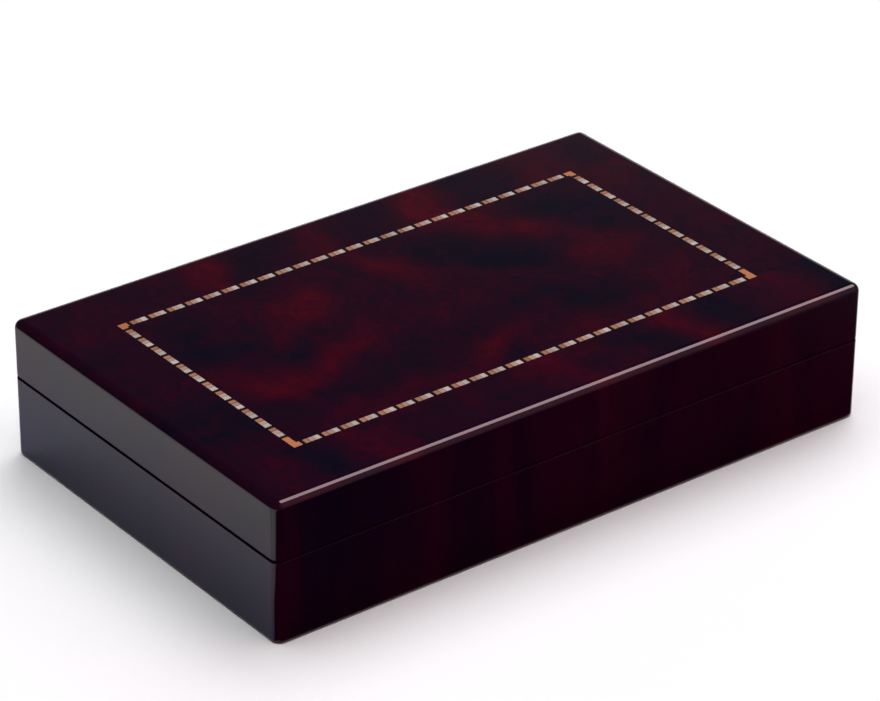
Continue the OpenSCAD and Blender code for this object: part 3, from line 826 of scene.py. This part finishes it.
# rounded rectangle as points (u, v) round the middle
def roundOutline(width, length, radius, steps):
    points = []
    for number, (signU, signV) in enumerate(((1, -1), (1, 1), (-1, 1), (-1, -1))):
        for i in range(steps + 1):
            angle = math.radians(-90 + 90 * number + 90 * i / steps)
            points.append((signU * (width / 2 - radius) + radius * math.cos(angle),
                           signV * (length / 2 - radius) + radius * math.sin(angle)))
    return points


# closed slab from an outline: layers are (inset, height), and place turns (u, v, height) into x, y, z
def slabMesh(outlineAt, layers, place):
    bm = bmesh.new()
    rings = [[bm.verts.new(Vector(place(u, v, height)) * mm) for u, v in outlineAt(inset)] for inset, height in layers]
    joinRings(bm, rings, False)
    bm.faces.new(rings[0])
    bm.faces.new(rings[-1])
    bmesh.ops.recalc_face_normals(bm, faces=bm.faces)
    return bm


def makePacks():
    step = (packs["high"] - packs["low"]) / packs["cards"]
    thick = step * packs["cardShare"]
    for number, (name, (x, y)) in enumerate(zip(packs["names"], packs["middles"])):
        card = slabMesh(lambda inset: roundOutline(packs["width"], packs["length"], packs["corner"], 5),
                        [(0, 0), (0, thick)], lambda u, v, h: (u, v, h))
        points = [(x, y, packs["low"] + step * i) for i in range(packs["cards"])]
        seed = packs["seed"] + number
        mesh = repeatShape(card, points, name, seed, packs["slip"], packs["twist"])
        wrapMesh("cards" + ("Left", "Right")[number], mesh, [name], "tray", [name])


dominoSet = {
    "long": 50, "wide": 25, "thick": 9, "corner": 2.5, "edge": 0.6, "count": 28,
    "first": -134.7, "pitch": 9.1, "middleY": -51.9, "low": 8.4,
    "pip": 1.5, "pipSpread": 5.8, "proud": 0.05, "bar": 0.7, "barLong": 19, "seed": 21,
}
# pips of each number on a three by three grid
pipPatterns = {
    0: [], 1: [(0, 0)], 2: [(-1, -1), (1, 1)], 3: [(-1, -1), (0, 0), (1, 1)],
    4: [(-1, -1), (1, -1), (-1, 1), (1, 1)], 5: [(-1, -1), (1, -1), (0, 0), (-1, 1), (1, 1)],
    6: [(-1, -1), (0, -1), (1, -1), (-1, 1), (0, 1), (1, 1)],
}


# the tiles stand on their long edges with their faces towards the tray's right end
def makeDominoes():
    d = dominoSet
    edge, half = d["edge"], d["thick"] / 2

    def outline(inset):
        return roundOutline(d["long"] - 2 * inset, d["wide"] - 2 * inset, d["corner"] - inset, 6)

    rounding = [(edge * (1 - math.sin(math.radians(a))), half - edge * (1 - math.cos(math.radians(a)))) for a in (0, 30, 60, 90)]
    layers = [(inset, -height) for inset, height in rounding] + [(inset, height) for inset, height in reversed(rounding)]
    tile = slabMesh(outline, layers, lambda u, v, h: (h, u, v))
    pip = slabMesh(lambda inset: roundOutline(2 * (d["pip"] - inset), 2 * (d["pip"] - inset), d["pip"] - inset, 3),
                   [(0, -0.2), (0, 0), (0.35, d["proud"])], lambda u, v, h: (h, u, v))
    bar = slabMesh(lambda inset: roundOutline(d["bar"] - inset, d["barLong"] - inset, (d["bar"] - inset) / 2, 3),
                   [(0, -0.2), (0, 0), (0.2, d["proud"])], lambda u, v, h: (h, u, v))
    middleZ = d["low"] + d["wide"] / 2
    values = [(a, b) for a in range(7) for b in range(a + 1)]
    tiles, pips, bars = [], [], []
    for i in range(d["count"]):
        x = d["first"] + i * d["pitch"] + half
        tiles.append((x, d["middleY"], middleZ))
        bars.append((x + half, d["middleY"], middleZ))
        for side, value in zip((-1, 1), values[i]):
            for a, b in pipPatterns[value]:
                pips.append((x + half, d["middleY"] + side * d["long"] / 4 + b * d["pipSpread"], middleZ + a * d["pipSpread"]))
    meshes = [repeatShape(tile, tiles, "ivory", d["seed"]), repeatShape(pip, pips, "pipPaint", d["seed"]),
              repeatShape(bar, bars, "pipPaint", d["seed"])]
    wrapMesh("dominoTiles", joinMeshes(meshes, [0, 1, 1]), ["ivory", "pipPaint"], "tray", ["dominoes"], 20)


diceSet = {
    "side": 16, "ball": 11.2, "grid": 40, "x": 13.1, "middleY": 27.5, "low": 8.4, "pitch": 17.6,
    "pip": 1.5, "pipSpread": 4, "pipDeep": 0.55,
    "turns": [(0, 0, 8), (90, 0, -5), (0, 90, 3), (180, 0, 12), (0, -90, -9)],
}


# cubes whose corners are rounded by a ball, with dished pips; opposite faces add to seven
def makeDice():
    d = diceSet
    half = d["side"] / 2
    faces = [((0, 0, 1), 6), ((0, 0, -1), 1), ((1, 0, 0), 2), ((-1, 0, 0), 5), ((0, 1, 0), 3), ((0, -1, 0), 4)]
    bm = bmesh.new()
    pipLayer = bm.verts.layers.float.new("pip")
    for normal, value in faces:
        up = Vector(normal)
        u = Vector((up.y, up.z, up.x))
        v = up.cross(u)
        spots = [Vector((a, b)) * d["pipSpread"] for a, b in pipPatterns[value]]
        rows = []
        for j in range(d["grid"] + 1):
            row = []
            for i in range(d["grid"] + 1):
                a, b = (2 * i / d["grid"] - 1) * half, (2 * j / d["grid"] - 1) * half
                spot = up * half + u * a + v * b
                if spot.length > d["ball"]:
                    spot *= d["ball"] / spot.length
                near = min([(Vector((a, b)) - s).length for s in spots], default=99)
                if near < d["pip"]:
                    spot -= up * d["pipDeep"] * (1 - (near / d["pip"]) ** 2)
                vert = bm.verts.new(spot * mm)
                vert[pipLayer] = max(0, min(1, (d["pip"] - near) / 0.8 + 0.5))
                row.append(vert)
            rows.append(row)
        for j in range(d["grid"]):
            for i in range(d["grid"]):
                bm.faces.new((rows[j][i], rows[j][i + 1], rows[j + 1][i + 1], rows[j + 1][i]))
    closeUp(bm)
    one = bpy.data.meshes.new("die")
    bm.to_mesh(one)
    bm.free()
    meshes, places = [], []
    for number, (aboutX, aboutY, aboutZ) in enumerate(d["turns"]):
        turn = Matrix.Rotation(math.radians(aboutZ), 4, "Z")
        turn = turn @ Matrix.Rotation(math.radians(aboutY), 4, "Y") @ Matrix.Rotation(math.radians(aboutX), 4, "X")
        y = d["middleY"] + (number - (len(d["turns"]) - 1) / 2) * d["pitch"]
        places.append(Matrix.Translation(Vector((d["x"], y, d["low"] + half)) * mm) @ turn)
        meshes.append(one.copy())
    bpy.data.meshes.remove(one)
    wrapMesh("diceSet", joinMeshes(meshes, [0] * len(meshes), places), ["ivory"], "tray", ["dice"], 40)


makePacks()
makeDominoes()
makeDice()
print("games made")


# velvet and felt

cloth = {"step": 2.5, "relief": 0.06, "reliefSize": 9, "edge": 0.35}


# thin cloth between two corners, its edges turned down and its surface a little uneven; faceUp is 1 or -1
def makeSheet(name, low, high, finish, body, replaced, radius=0.0, faceUp=1):
    (x0, y0, z0), (x1, y1, z1) = low, high
    glued, free = (z0, z1) if faceUp > 0 else (z1, z0)
    edge = min(cloth["edge"], abs(free - glued) * 0.6)
    bm = bmesh.new()

    def cuts(a, b):
        count = max(2, int((b - a - 2 * edge) / cloth["step"]))
        return [a] + [a + edge + (b - a - 2 * edge) * i / count for i in range(count + 1)] + [b]

    xs, ys = cuts(x0, x1), cuts(y0, y1)

    def pulled(x, y):
        if radius:
            cornerX, cornerY = max(x0 + radius, min(x1 - radius, x)), max(y0 + radius, min(y1 - radius, y))
            away = Vector((x - cornerX, y - cornerY))
            if away.length > radius and abs(away.x) > 0 and abs(away.y) > 0:
                away *= radius / away.length
                return cornerX + away.x, cornerY + away.y
        return x, y

    upper, lower = {}, {}
    for i, x in enumerate(xs):
        for j, y in enumerate(ys):
            atEdge = i in (0, len(xs) - 1) or j in (0, len(ys) - 1)
            drop = edge if atEdge else 0
            bumps = noise.noise(Vector((x, y, 7)) / cloth["reliefSize"]) * cloth["relief"]
            px, py = pulled(x, y)
            height = free - faceUp * (drop + cloth["relief"] - bumps * (0 if atEdge else 1))
            upper[i, j] = bm.verts.new((px * mm, py * mm, height * mm))
            lower[i, j] = bm.verts.new((px * mm, py * mm, glued * mm)) if atEdge else None
    for i in range(len(xs) - 1):
        for j in range(len(ys) - 1):
            bm.faces.new([upper[k] for k in ((i, j), (i + 1, j), (i + 1, j + 1), (i, j + 1))])
    rim = [(i, 0) for i in range(len(xs))] + [(len(xs) - 1, j) for j in range(1, len(ys))]
    rim += [(i, len(ys) - 1) for i in range(len(xs) - 2, -1, -1)] + [(0, j) for j in range(len(ys) - 2, 0, -1)]
    joinRings(bm, [[lower[k] for k in rim], [upper[k] for k in rim]], False)
    bm.faces.new([lower[k] for k in rim])
    bmesh.ops.recalc_face_normals(bm, faces=bm.faces)
    piece = newObject(name, bm, [finish], body, replaced, 50)
    return piece


# a cut sheet in the bottom of each well that has no riser, on the base's floor and under the box
def makeSheets():
    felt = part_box("underside_felt")
    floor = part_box("floor_lining")
    makeSheet("feltUnder", felt[0] / mm, felt[1] / mm, "felt", "base", ["underside_felt"],
              2.5, -1)
    makeSheet("floorVelvet", floor[0] / mm, floor[1] / mm, "velvet", "base", ["floor_lining"])
    wells = {"Channel": (-134.7, -77.7, 134.7, -26.1), "Dice": (3.3, -22.7, 22.9, 77.7), "Open": (26.3, -22.7, 134.7, 77.7)}
    for label, (x0, y0, x1, y1) in wells.items():
        replaced = ["tray_lining"] if label == "Channel" else []
        makeSheet("velvet" + label, (x0, y0, 7.8), (x1, y1, 8.4), "velvet", "tray", replaced)


riser = {"wells": [(-134.7, -69.1), (-65.7, -0.1)], "y": (-22.7, 77.7), "low": 7.8, "high": 16, "round": 1.4}


# velvet-covered blocks that lift the packs of cards
def makeRisers():
    bm = bmesh.new()
    for x0, x1 in riser["wells"]:
        made = bmesh.ops.create_cube(bm, size=1)["verts"]
        y0, y1 = riser["y"]
        for v in made:
            v.co = Vector((x0 + (v.co.x + 0.5) * (x1 - x0), y0 + (v.co.y + 0.5) * (y1 - y0),
                           riser["low"] + (v.co.z + 0.5) * (riser["high"] - riser["low"]))) * mm
    tops = [e for e in bm.edges if all(v.co.z > (riser["high"] - 0.1) * mm for v in e.verts)]
    tops += [e for e in bm.edges if abs(e.verts[0].co.z - e.verts[1].co.z) > mm]
    bmesh.ops.bevel(bm, geom=tops, offset=riser["round"] * mm, segments=4, profile=0.5, affect="EDGES")
    bmesh.ops.subdivide_edges(bm, edges=[e for e in bm.edges if e.calc_length() > 20 * mm], cuts=24, use_grid_fill=True)
    for v in bm.verts:
        if v.co.z > (riser["high"] - 0.05) * mm:
            v.co.z += (noise.noise(v.co / mm / cloth["reliefSize"]) - 1) * cloth["relief"] * mm
    bmesh.ops.recalc_face_normals(bm, faces=bm.faces)
    piece = newObject("risers", bm, ["velvet"], "tray", ["card_risers"], 50)


padding = {
    "halfX": 140.3, "halfY": 83.3, "under": 53.7, "back": 57, "cell": 4, "quilt": 9, "seamRise": 1.0,
    "pressure": 4, "frames": 20, "mostPuff": 2.2,
}


# quilted pad under the lid's panel: sewn lines are held, and the velvet between them swells
def makeLidPad():
    p = padding
    countX, countY = round(2 * p["halfX"] / p["cell"]), round(2 * p["halfY"] / p["cell"])
    bm = bmesh.new()
    grid, held = {}, []
    for i in range(countX + 1):
        for j in range(countY + 1):
            sewn = (i + j - 4) % p["quilt"] == 0 or (i - j + 2) % p["quilt"] == 0
            rim = i in (0, countX) or j in (0, countY)
            x, y = (2 * i / countX - 1) * p["halfX"], (2 * j / countY - 1) * p["halfY"]
            z = p["under"] + (p["seamRise"] if sewn or rim else 0)
            grid[i, j] = bm.verts.new((x * mm, y * mm, z * mm))
            if sewn or rim:
                held.append(i * (countY + 1) + j)
    for i in range(countX):
        for j in range(countY):
            bm.faces.new((grid[i, j], grid[i, j + 1], grid[i + 1, j + 1], grid[i + 1, j]))
    rim = [(i, 0) for i in range(countX + 1)] + [(countX, j) for j in range(1, countY + 1)]
    rim += [(i, countY) for i in range(countX - 1, -1, -1)] + [(0, j) for j in range(countY - 1, 0, -1)]
    ring = [grid[k] for k in rim]
    back = [bm.verts.new((v.co.x, v.co.y, p["back"] * mm)) for v in ring]
    joinRings(bm, [ring, back], False)
    bm.faces.new(back)
    bmesh.ops.recalc_face_normals(bm, faces=bm.faces)
    piece = newObject("lidPad", bm, ["velvet"], "lid", ["lid_lining"], 70)
    mesh = piece.data
    start = [v.co.copy() for v in mesh.vertices]
    pins = piece.vertex_groups.new(name="sewn")
    pins.add(held + list(range(len(grid), len(mesh.vertices))), 1.0, "REPLACE")
    swell = piece.modifiers.new("swell", "CLOTH")
    swell.settings.use_pressure = True
    swell.settings.uniform_pressure_force = p["pressure"]
    swell.settings.effector_weights.gravity = 0
    swell.settings.vertex_group_mass = "sewn"
    swell.settings.quality = 6
    for number in range(1, p["frames"] + 1):
        bpy.context.scene.frame_set(number)
    swelled = piece.evaluated_get(bpy.context.evaluated_depsgraph_get())
    ends = [v.co.copy() for v in swelled.data.vertices]
    piece.modifiers.clear()
    bpy.context.scene.frame_set(1)
    moves = [b - a for a, b in zip(start, ends)]
    for vert, begin, move in zip(mesh.vertices, start, moves):
        longest = p["mostPuff"] * mm
        vert.co = begin + (move * (longest / move.length) if move.length > longest else move)
    print("lid pad swelled by at most %.2f mm" % (max(m.length for m in moves) / mm))
    smooth = piece.modifiers.new("smooth", "SUBSURF")
    smooth.levels = smooth.render_levels = 1


makeSheets()
makeRisers()
makeLidPad()
print("velvet and felt made")


# slotted screws of the hinges
screw = {
    "head": 1.95, "shank": 1.0, "length": 6.5, "cone": 1.0, "slotWide": 0.55, "slotDeep": 0.45,
    "xs": (-8.5, 0, 8.5), "inset": 4.6, "axisY": 93.4, "faceGap": 0.05, "seed": 31,
}


def makeScrews():
    s = screw
    for name, node, body, side in (("screwsLower", "base_hinge_screws", "base", -1), ("screwsUpper", "lid_hinge_screws", "lid", 1)):
        layers = [(s["head"] - 0.12, 0), (s["head"], 0.12), (s["shank"], s["cone"]), (s["shank"], s["length"] - 1.2), (0.1, s["length"])]
        bm = bmesh.new()
        rings = []
        for radius, depth in layers:
            turns = [2 * math.pi * k / 28 for k in range(28)]
            rings.append([bm.verts.new(Vector((radius * math.cos(a), radius * math.sin(a), side * depth)) * mm) for a in turns])
        joinRings(bm, rings, False)
        bm.faces.new(rings[0])
        bm.faces.new(rings[-1])
        bmesh.ops.recalc_face_normals(bm, faces=bm.faces)
        blank = cutterObject(bm)
        wide, deep = s["slotWide"] / 2, s["slotDeep"]
        cutAway(blank, [boxCutter((-3, -wide, -deep), (3, wide, deep))])
        bm = bmesh.new()
        bm.from_mesh(blank.data)
        dropObject(blank)
        face = hinge["seam"] + side * s["faceGap"]
        points = [(sign * hinge["x"] + x, s["axisY"] - s["inset"], face) for sign in (-1, 1) for x in s["xs"]]
        wrapMesh(name, repeatShape(bm, points, "brass", s["seed"], 0.0, 90), ["brass"], body, [node], 25)


makeScrews()


# the frame's own pieces that keep their shape

def finishNodes(finish, names):
    for name in names:
        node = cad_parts[name]
        node.data.materials.clear()
        node.data.materials.append(finishes[finish])


finishNodes("walnut", ["liner_front", "liner_back", "tray_front", "tray_back", "tray_channel_divider"])
finishNodes("walnutCross", ["liner_left", "liner_right", "tray_left", "tray_right", "tray_card_divider",
                            "tray_dice_divider", "tray_well_divider"])
finishNodes("plywood", ["base_floor", "tray_floor"])
finishNodes("brass", ["hinge_left_lower_leaf", "hinge_right_lower_leaf", "hinge_left_upper_leaf",
                      "hinge_right_upper_leaf", "hinge_left_pin", "hinge_right_pin"])
finishNodes("nickel", ["catch_magnets", "catch_plates"])
print("frame pieces finished")


# stage, lights and camera

stage = {
    "floorSize": 60, "floorColour": (0.955, 0.965, 0.99),
    "cardFar": 25.0, "cardGap": 0.0012, "cardLift": 0.0002,
    "cardTurn": -50, "cardSoft": 18,        # how its left side runs, in degrees from straight ahead
    "apex": (-0.030, 0.004),                # from this place beside the near corner
    # the lit part glows though it is no lamp: a painted lighter reflection
    "litFrom": -134, "litTo": -108, "litLevel": 1.12,  # and the lighter part beside it
    "litNear": 0.03, "litAway": 0.07,
    "farFrom": 0.12, "farTo": 0.5,          # on the left it darkens again between these distances
    "nearShade": 0.38, "nearReach": 0.085,  # and a little, towards blue, close to the box
    "cardColour": (0.004, 0.004, 0.008), "nearColour": (0.05, 0.16, 0.75),
    "rightFrom": 0.15, "rightTo": 0.3, "rightClear": 0.09,  # past the right end it is a little clear
}
# one lamp is seen in the lacquer, the other two only light the surfaces
keyLight = {"towards": (0.535, -0.070, 0.842), "spread": 31, "power": 1.8, "colour": (1.0, 0.72, 0.78), "seen": True}
topLight = {"towards": (0.0, 0.03, 1.0), "spread": 75, "power": 2.5, "colour": (1.0, 0.995, 0.99), "seen": False}
sideLight = {"towards": (0.56, 0.30, 0.77), "spread": 45, "power": 0.8, "colour": (1.0, 0.96, 0.97), "seen": False}
# what the lacquer reflects of the dark room: a pale backdrop behind that fades with height, and a warm glow in front
room = {
    "colour": (0.013, 0.0125, 0.014),
    "backdrop": {"steep": 36.8, "full": 0.369, "fromX": (-0.1, 0.3), "fromY": (0.0, 0.4)},
    "glow": {"towards": (0.61, -0.63, 0.48), "tightness": 9, "colour": (0.72, 0.30, 0.33)},
}
camera = {"azimuth": -37.676, "elevation": 28.781, "roll": 0.429, "distance": 1718.3,
          "right": -0.26, "up": 34.7, "focal": 4098.0, "frameWidth": 880, "sensor": 36}


def makeFloor():
    bpy.ops.mesh.primitive_plane_add(size=stage["floorSize"])
    floor = bpy.context.object
    floor.name = "floor"
    material, tree, shader = newMaterial("paleFloor", Roughness=0.9)
    shader.inputs["Base Color"].default_value = (*stage["floorColour"], 1)
    shader.inputs["Specular IOR Level"].default_value = 0.0
    floor.data.materials.append(material)


# dark card on the floor in front and on the left, which only reflections see: it paints darker shade into the lacquer's
# reflections, bluish close to the box, and its glowing lit part paints a lighter reflection; it is clear where they
# show the floor
def makeCard():
    bm = bmesh.new()
    x0, y0, far = -halfL * mm - stage["cardGap"], -halfW * mm - stage["cardGap"], stage["cardFar"]
    corners = ((x0, y0), (x0, far), (-far, far), (-far, -far), (far, -far), (far, y0))
    bm.faces.new([bm.verts.new((x, y, stage["cardLift"])) for x, y in corners])
    mesh = bpy.data.meshes.new("darkCard")
    bm.to_mesh(mesh)
    bm.free()
    card = bpy.data.objects.new("darkCard", mesh)
    bpy.context.scene.collection.objects.link(card)
    material, tree, shader = newMaterial("darkCard", Roughness=1.0)
    shader.inputs["Specular IOR Level"].default_value = 0.0
    shader.inputs["Emission Color"].default_value = (1, 1, 1, 1)
    axes = addNode(tree, "ShaderNodeSeparateXYZ", {0: objectCoords(tree, location=(-x0, -y0, 0))}).outputs
    away = mathOf(tree, "MULTIPLY", axes[0], -1.0)
    ahead = mathOf(tree, "MULTIPLY", axes[1], -1.0)
    turn = mathOf(tree, "ARCTAN2", axes[0], ahead)

    def between(value, low, high, newLow=0.0, newHigh=1.0):
        return remapOf(tree, value, low, high, newLow, newHigh, True)

    apexX, apexY = stage["apex"]
    past = mathOf(tree, "ADD", ahead, apexY)
    turned = mathOf(tree, "ARCTAN2", mathOf(tree, "SUBTRACT", axes[0], apexX), past)
    front = between(turned, math.radians(stage["cardTurn"] - stage["cardSoft"]), math.radians(stage["cardTurn"] + stage["cardSoft"]))
    front = mathOf(tree, "MULTIPLY", front, mathOf(tree, "GREATER_THAN", past, 0.0))
    rest = mathOf(tree, "SUBTRACT", 1.0, front)
    onLeft = mathOf(tree, "MULTIPLY", mathOf(tree, "GREATER_THAN", away, 0.0), rest)
    lit = mathOf(tree, "MULTIPLY", between(turn, math.radians(stage["litFrom"]), math.radians(stage["litTo"])), onLeft)
    lit = mathOf(tree, "MULTIPLY", lit, between(away, stage["litNear"], stage["litAway"]))
    distant = mathOf(tree, "MULTIPLY", between(away, stage["farFrom"], stage["farTo"]), onLeft)
    close = mathOf(tree, "MULTIPLY", between(away, 0.0, stage["nearReach"], 1.0, 0.0), onLeft)
    # painted shade in the reflections: the card's dark colour, bluish near the box, and the lit part's glow as a
    # painted lighter reflection
    colour = blendOf(tree, close, stage["cardColour"], stage["nearColour"])
    tree.links.new(colour, shader.inputs["Base Color"])
    tree.links.new(mathOf(tree, "MULTIPLY", lit, stage["litLevel"]), shader.inputs["Emission Strength"])
    pastEnd = between(axes[0], stage["rightFrom"] + halfL * mm, stage["rightTo"] + halfL * mm, 1.0, 1 - stage["rightClear"])
    solid = mathOf(tree, "MAXIMUM", mathOf(tree, "MULTIPLY", front, pastEnd), distant)
    solid = mathOf(tree, "MAXIMUM", solid, mathOf(tree, "MULTIPLY", close, stage["nearShade"]))
    solid = mathOf(tree, "MAXIMUM", solid, lit)
    clear = addNode(tree, "ShaderNodeBsdfTransparent")
    mix = addNode(tree, "ShaderNodeMixShader", {0: solid, 1: clear.outputs[0], 2: shader.outputs[0]})
    tree.links.new(mix.outputs[0], tree.nodes["Material Output"].inputs["Surface"])
    mesh.materials.append(material)
    card.visible_camera = card.visible_diffuse = card.visible_shadow = card.visible_transmission = False


def makeSun(name, look):
    light = bpy.data.lights.new(name, "SUN")
    light.energy = look["power"]
    light.color = look["colour"]
    light.angle = math.radians(look["spread"])
    lamp = bpy.data.objects.new(name, light)
    lamp.rotation_euler = Vector(look["towards"]).to_track_quat("Z", "Y").to_euler()
    lamp.visible_glossy = look["seen"]
    lamp.visible_diffuse = not look["seen"]
    bpy.context.scene.collection.objects.link(lamp)


def makeCamera():
    azimuth, elevation, roll = (math.radians(camera[k]) for k in ("azimuth", "elevation", "roll"))
    back = Vector((math.sin(azimuth) * math.cos(elevation), -math.cos(azimuth) * math.cos(elevation), math.sin(elevation)))
    right = Vector((math.cos(azimuth), math.sin(azimuth), 0))
    up = back.cross(right)
    turnedRight = right * math.cos(roll) + up * math.sin(roll)
    turnedUp = up * math.cos(roll) - right * math.sin(roll)
    place = (back * camera["distance"] + right * camera["right"] + up * camera["up"]) * mm
    data = bpy.data.cameras.new("camera")
    data.sensor_width = camera["sensor"]
    data.lens = camera["focal"] / camera["frameWidth"] * camera["sensor"]
    data.clip_start = 0.05
    seen = bpy.data.objects.new("camera", data)
    bpy.context.scene.collection.objects.link(seen)
    turn = Matrix((turnedRight, turnedUp, back)).transposed().to_4x4()
    seen.matrix_world = Matrix.Translation(place) @ turn
    bpy.context.scene.camera = seen


def makeRoom():
    world = bpy.data.worlds.new("room")
    world.use_nodes = True
    tree = world.node_tree
    way = addNode(tree, "ShaderNodeTexCoord").outputs["Generated"]
    axes = addNode(tree, "ShaderNodeSeparateXYZ", {0: way}).outputs
    backdrop, glow = room["backdrop"], room["glow"]
    drop = mathOf(tree, "MULTIPLY", mathOf(tree, "SUBTRACT", backdrop["full"], axes[2]), backdrop["steep"])
    pale = mathOf(tree, "MINIMUM", mathOf(tree, "EXPONENT", drop), 1.0)
    for axis, limits in ((axes[0], backdrop["fromX"]), (axes[1], backdrop["fromY"])):
        pale = mathOf(tree, "MULTIPLY", pale, remapOf(tree, axis, *limits, 0.0, 1.0, True))
    colour = blendOf(tree, pale, room["colour"], (1.0, 1.0, 1.0))
    values = {0: way, 1: Vector(glow["towards"]).normalized()}
    facing = addNode(tree, "ShaderNodeVectorMath", values, operation="DOT_PRODUCT").outputs["Value"]
    slope = mathOf(tree, "MULTIPLY", mathOf(tree, "SUBTRACT", facing, 1.0), float(glow["tightness"]))
    colour = blendOf(tree, mathOf(tree, "EXPONENT", slope), colour, glow["colour"], "ADD")
    tree.links.new(colour, tree.nodes["Background"].inputs["Color"])
    bpy.context.scene.world = world


makeFloor()
makeCard()
makeSun("keyLight", keyLight)
makeSun("topLight", topLight)
makeSun("sideLight", sideLight)
makeCamera()
makeRoom()
bpy.context.scene.view_settings.view_transform = "Standard"
print("stage set")
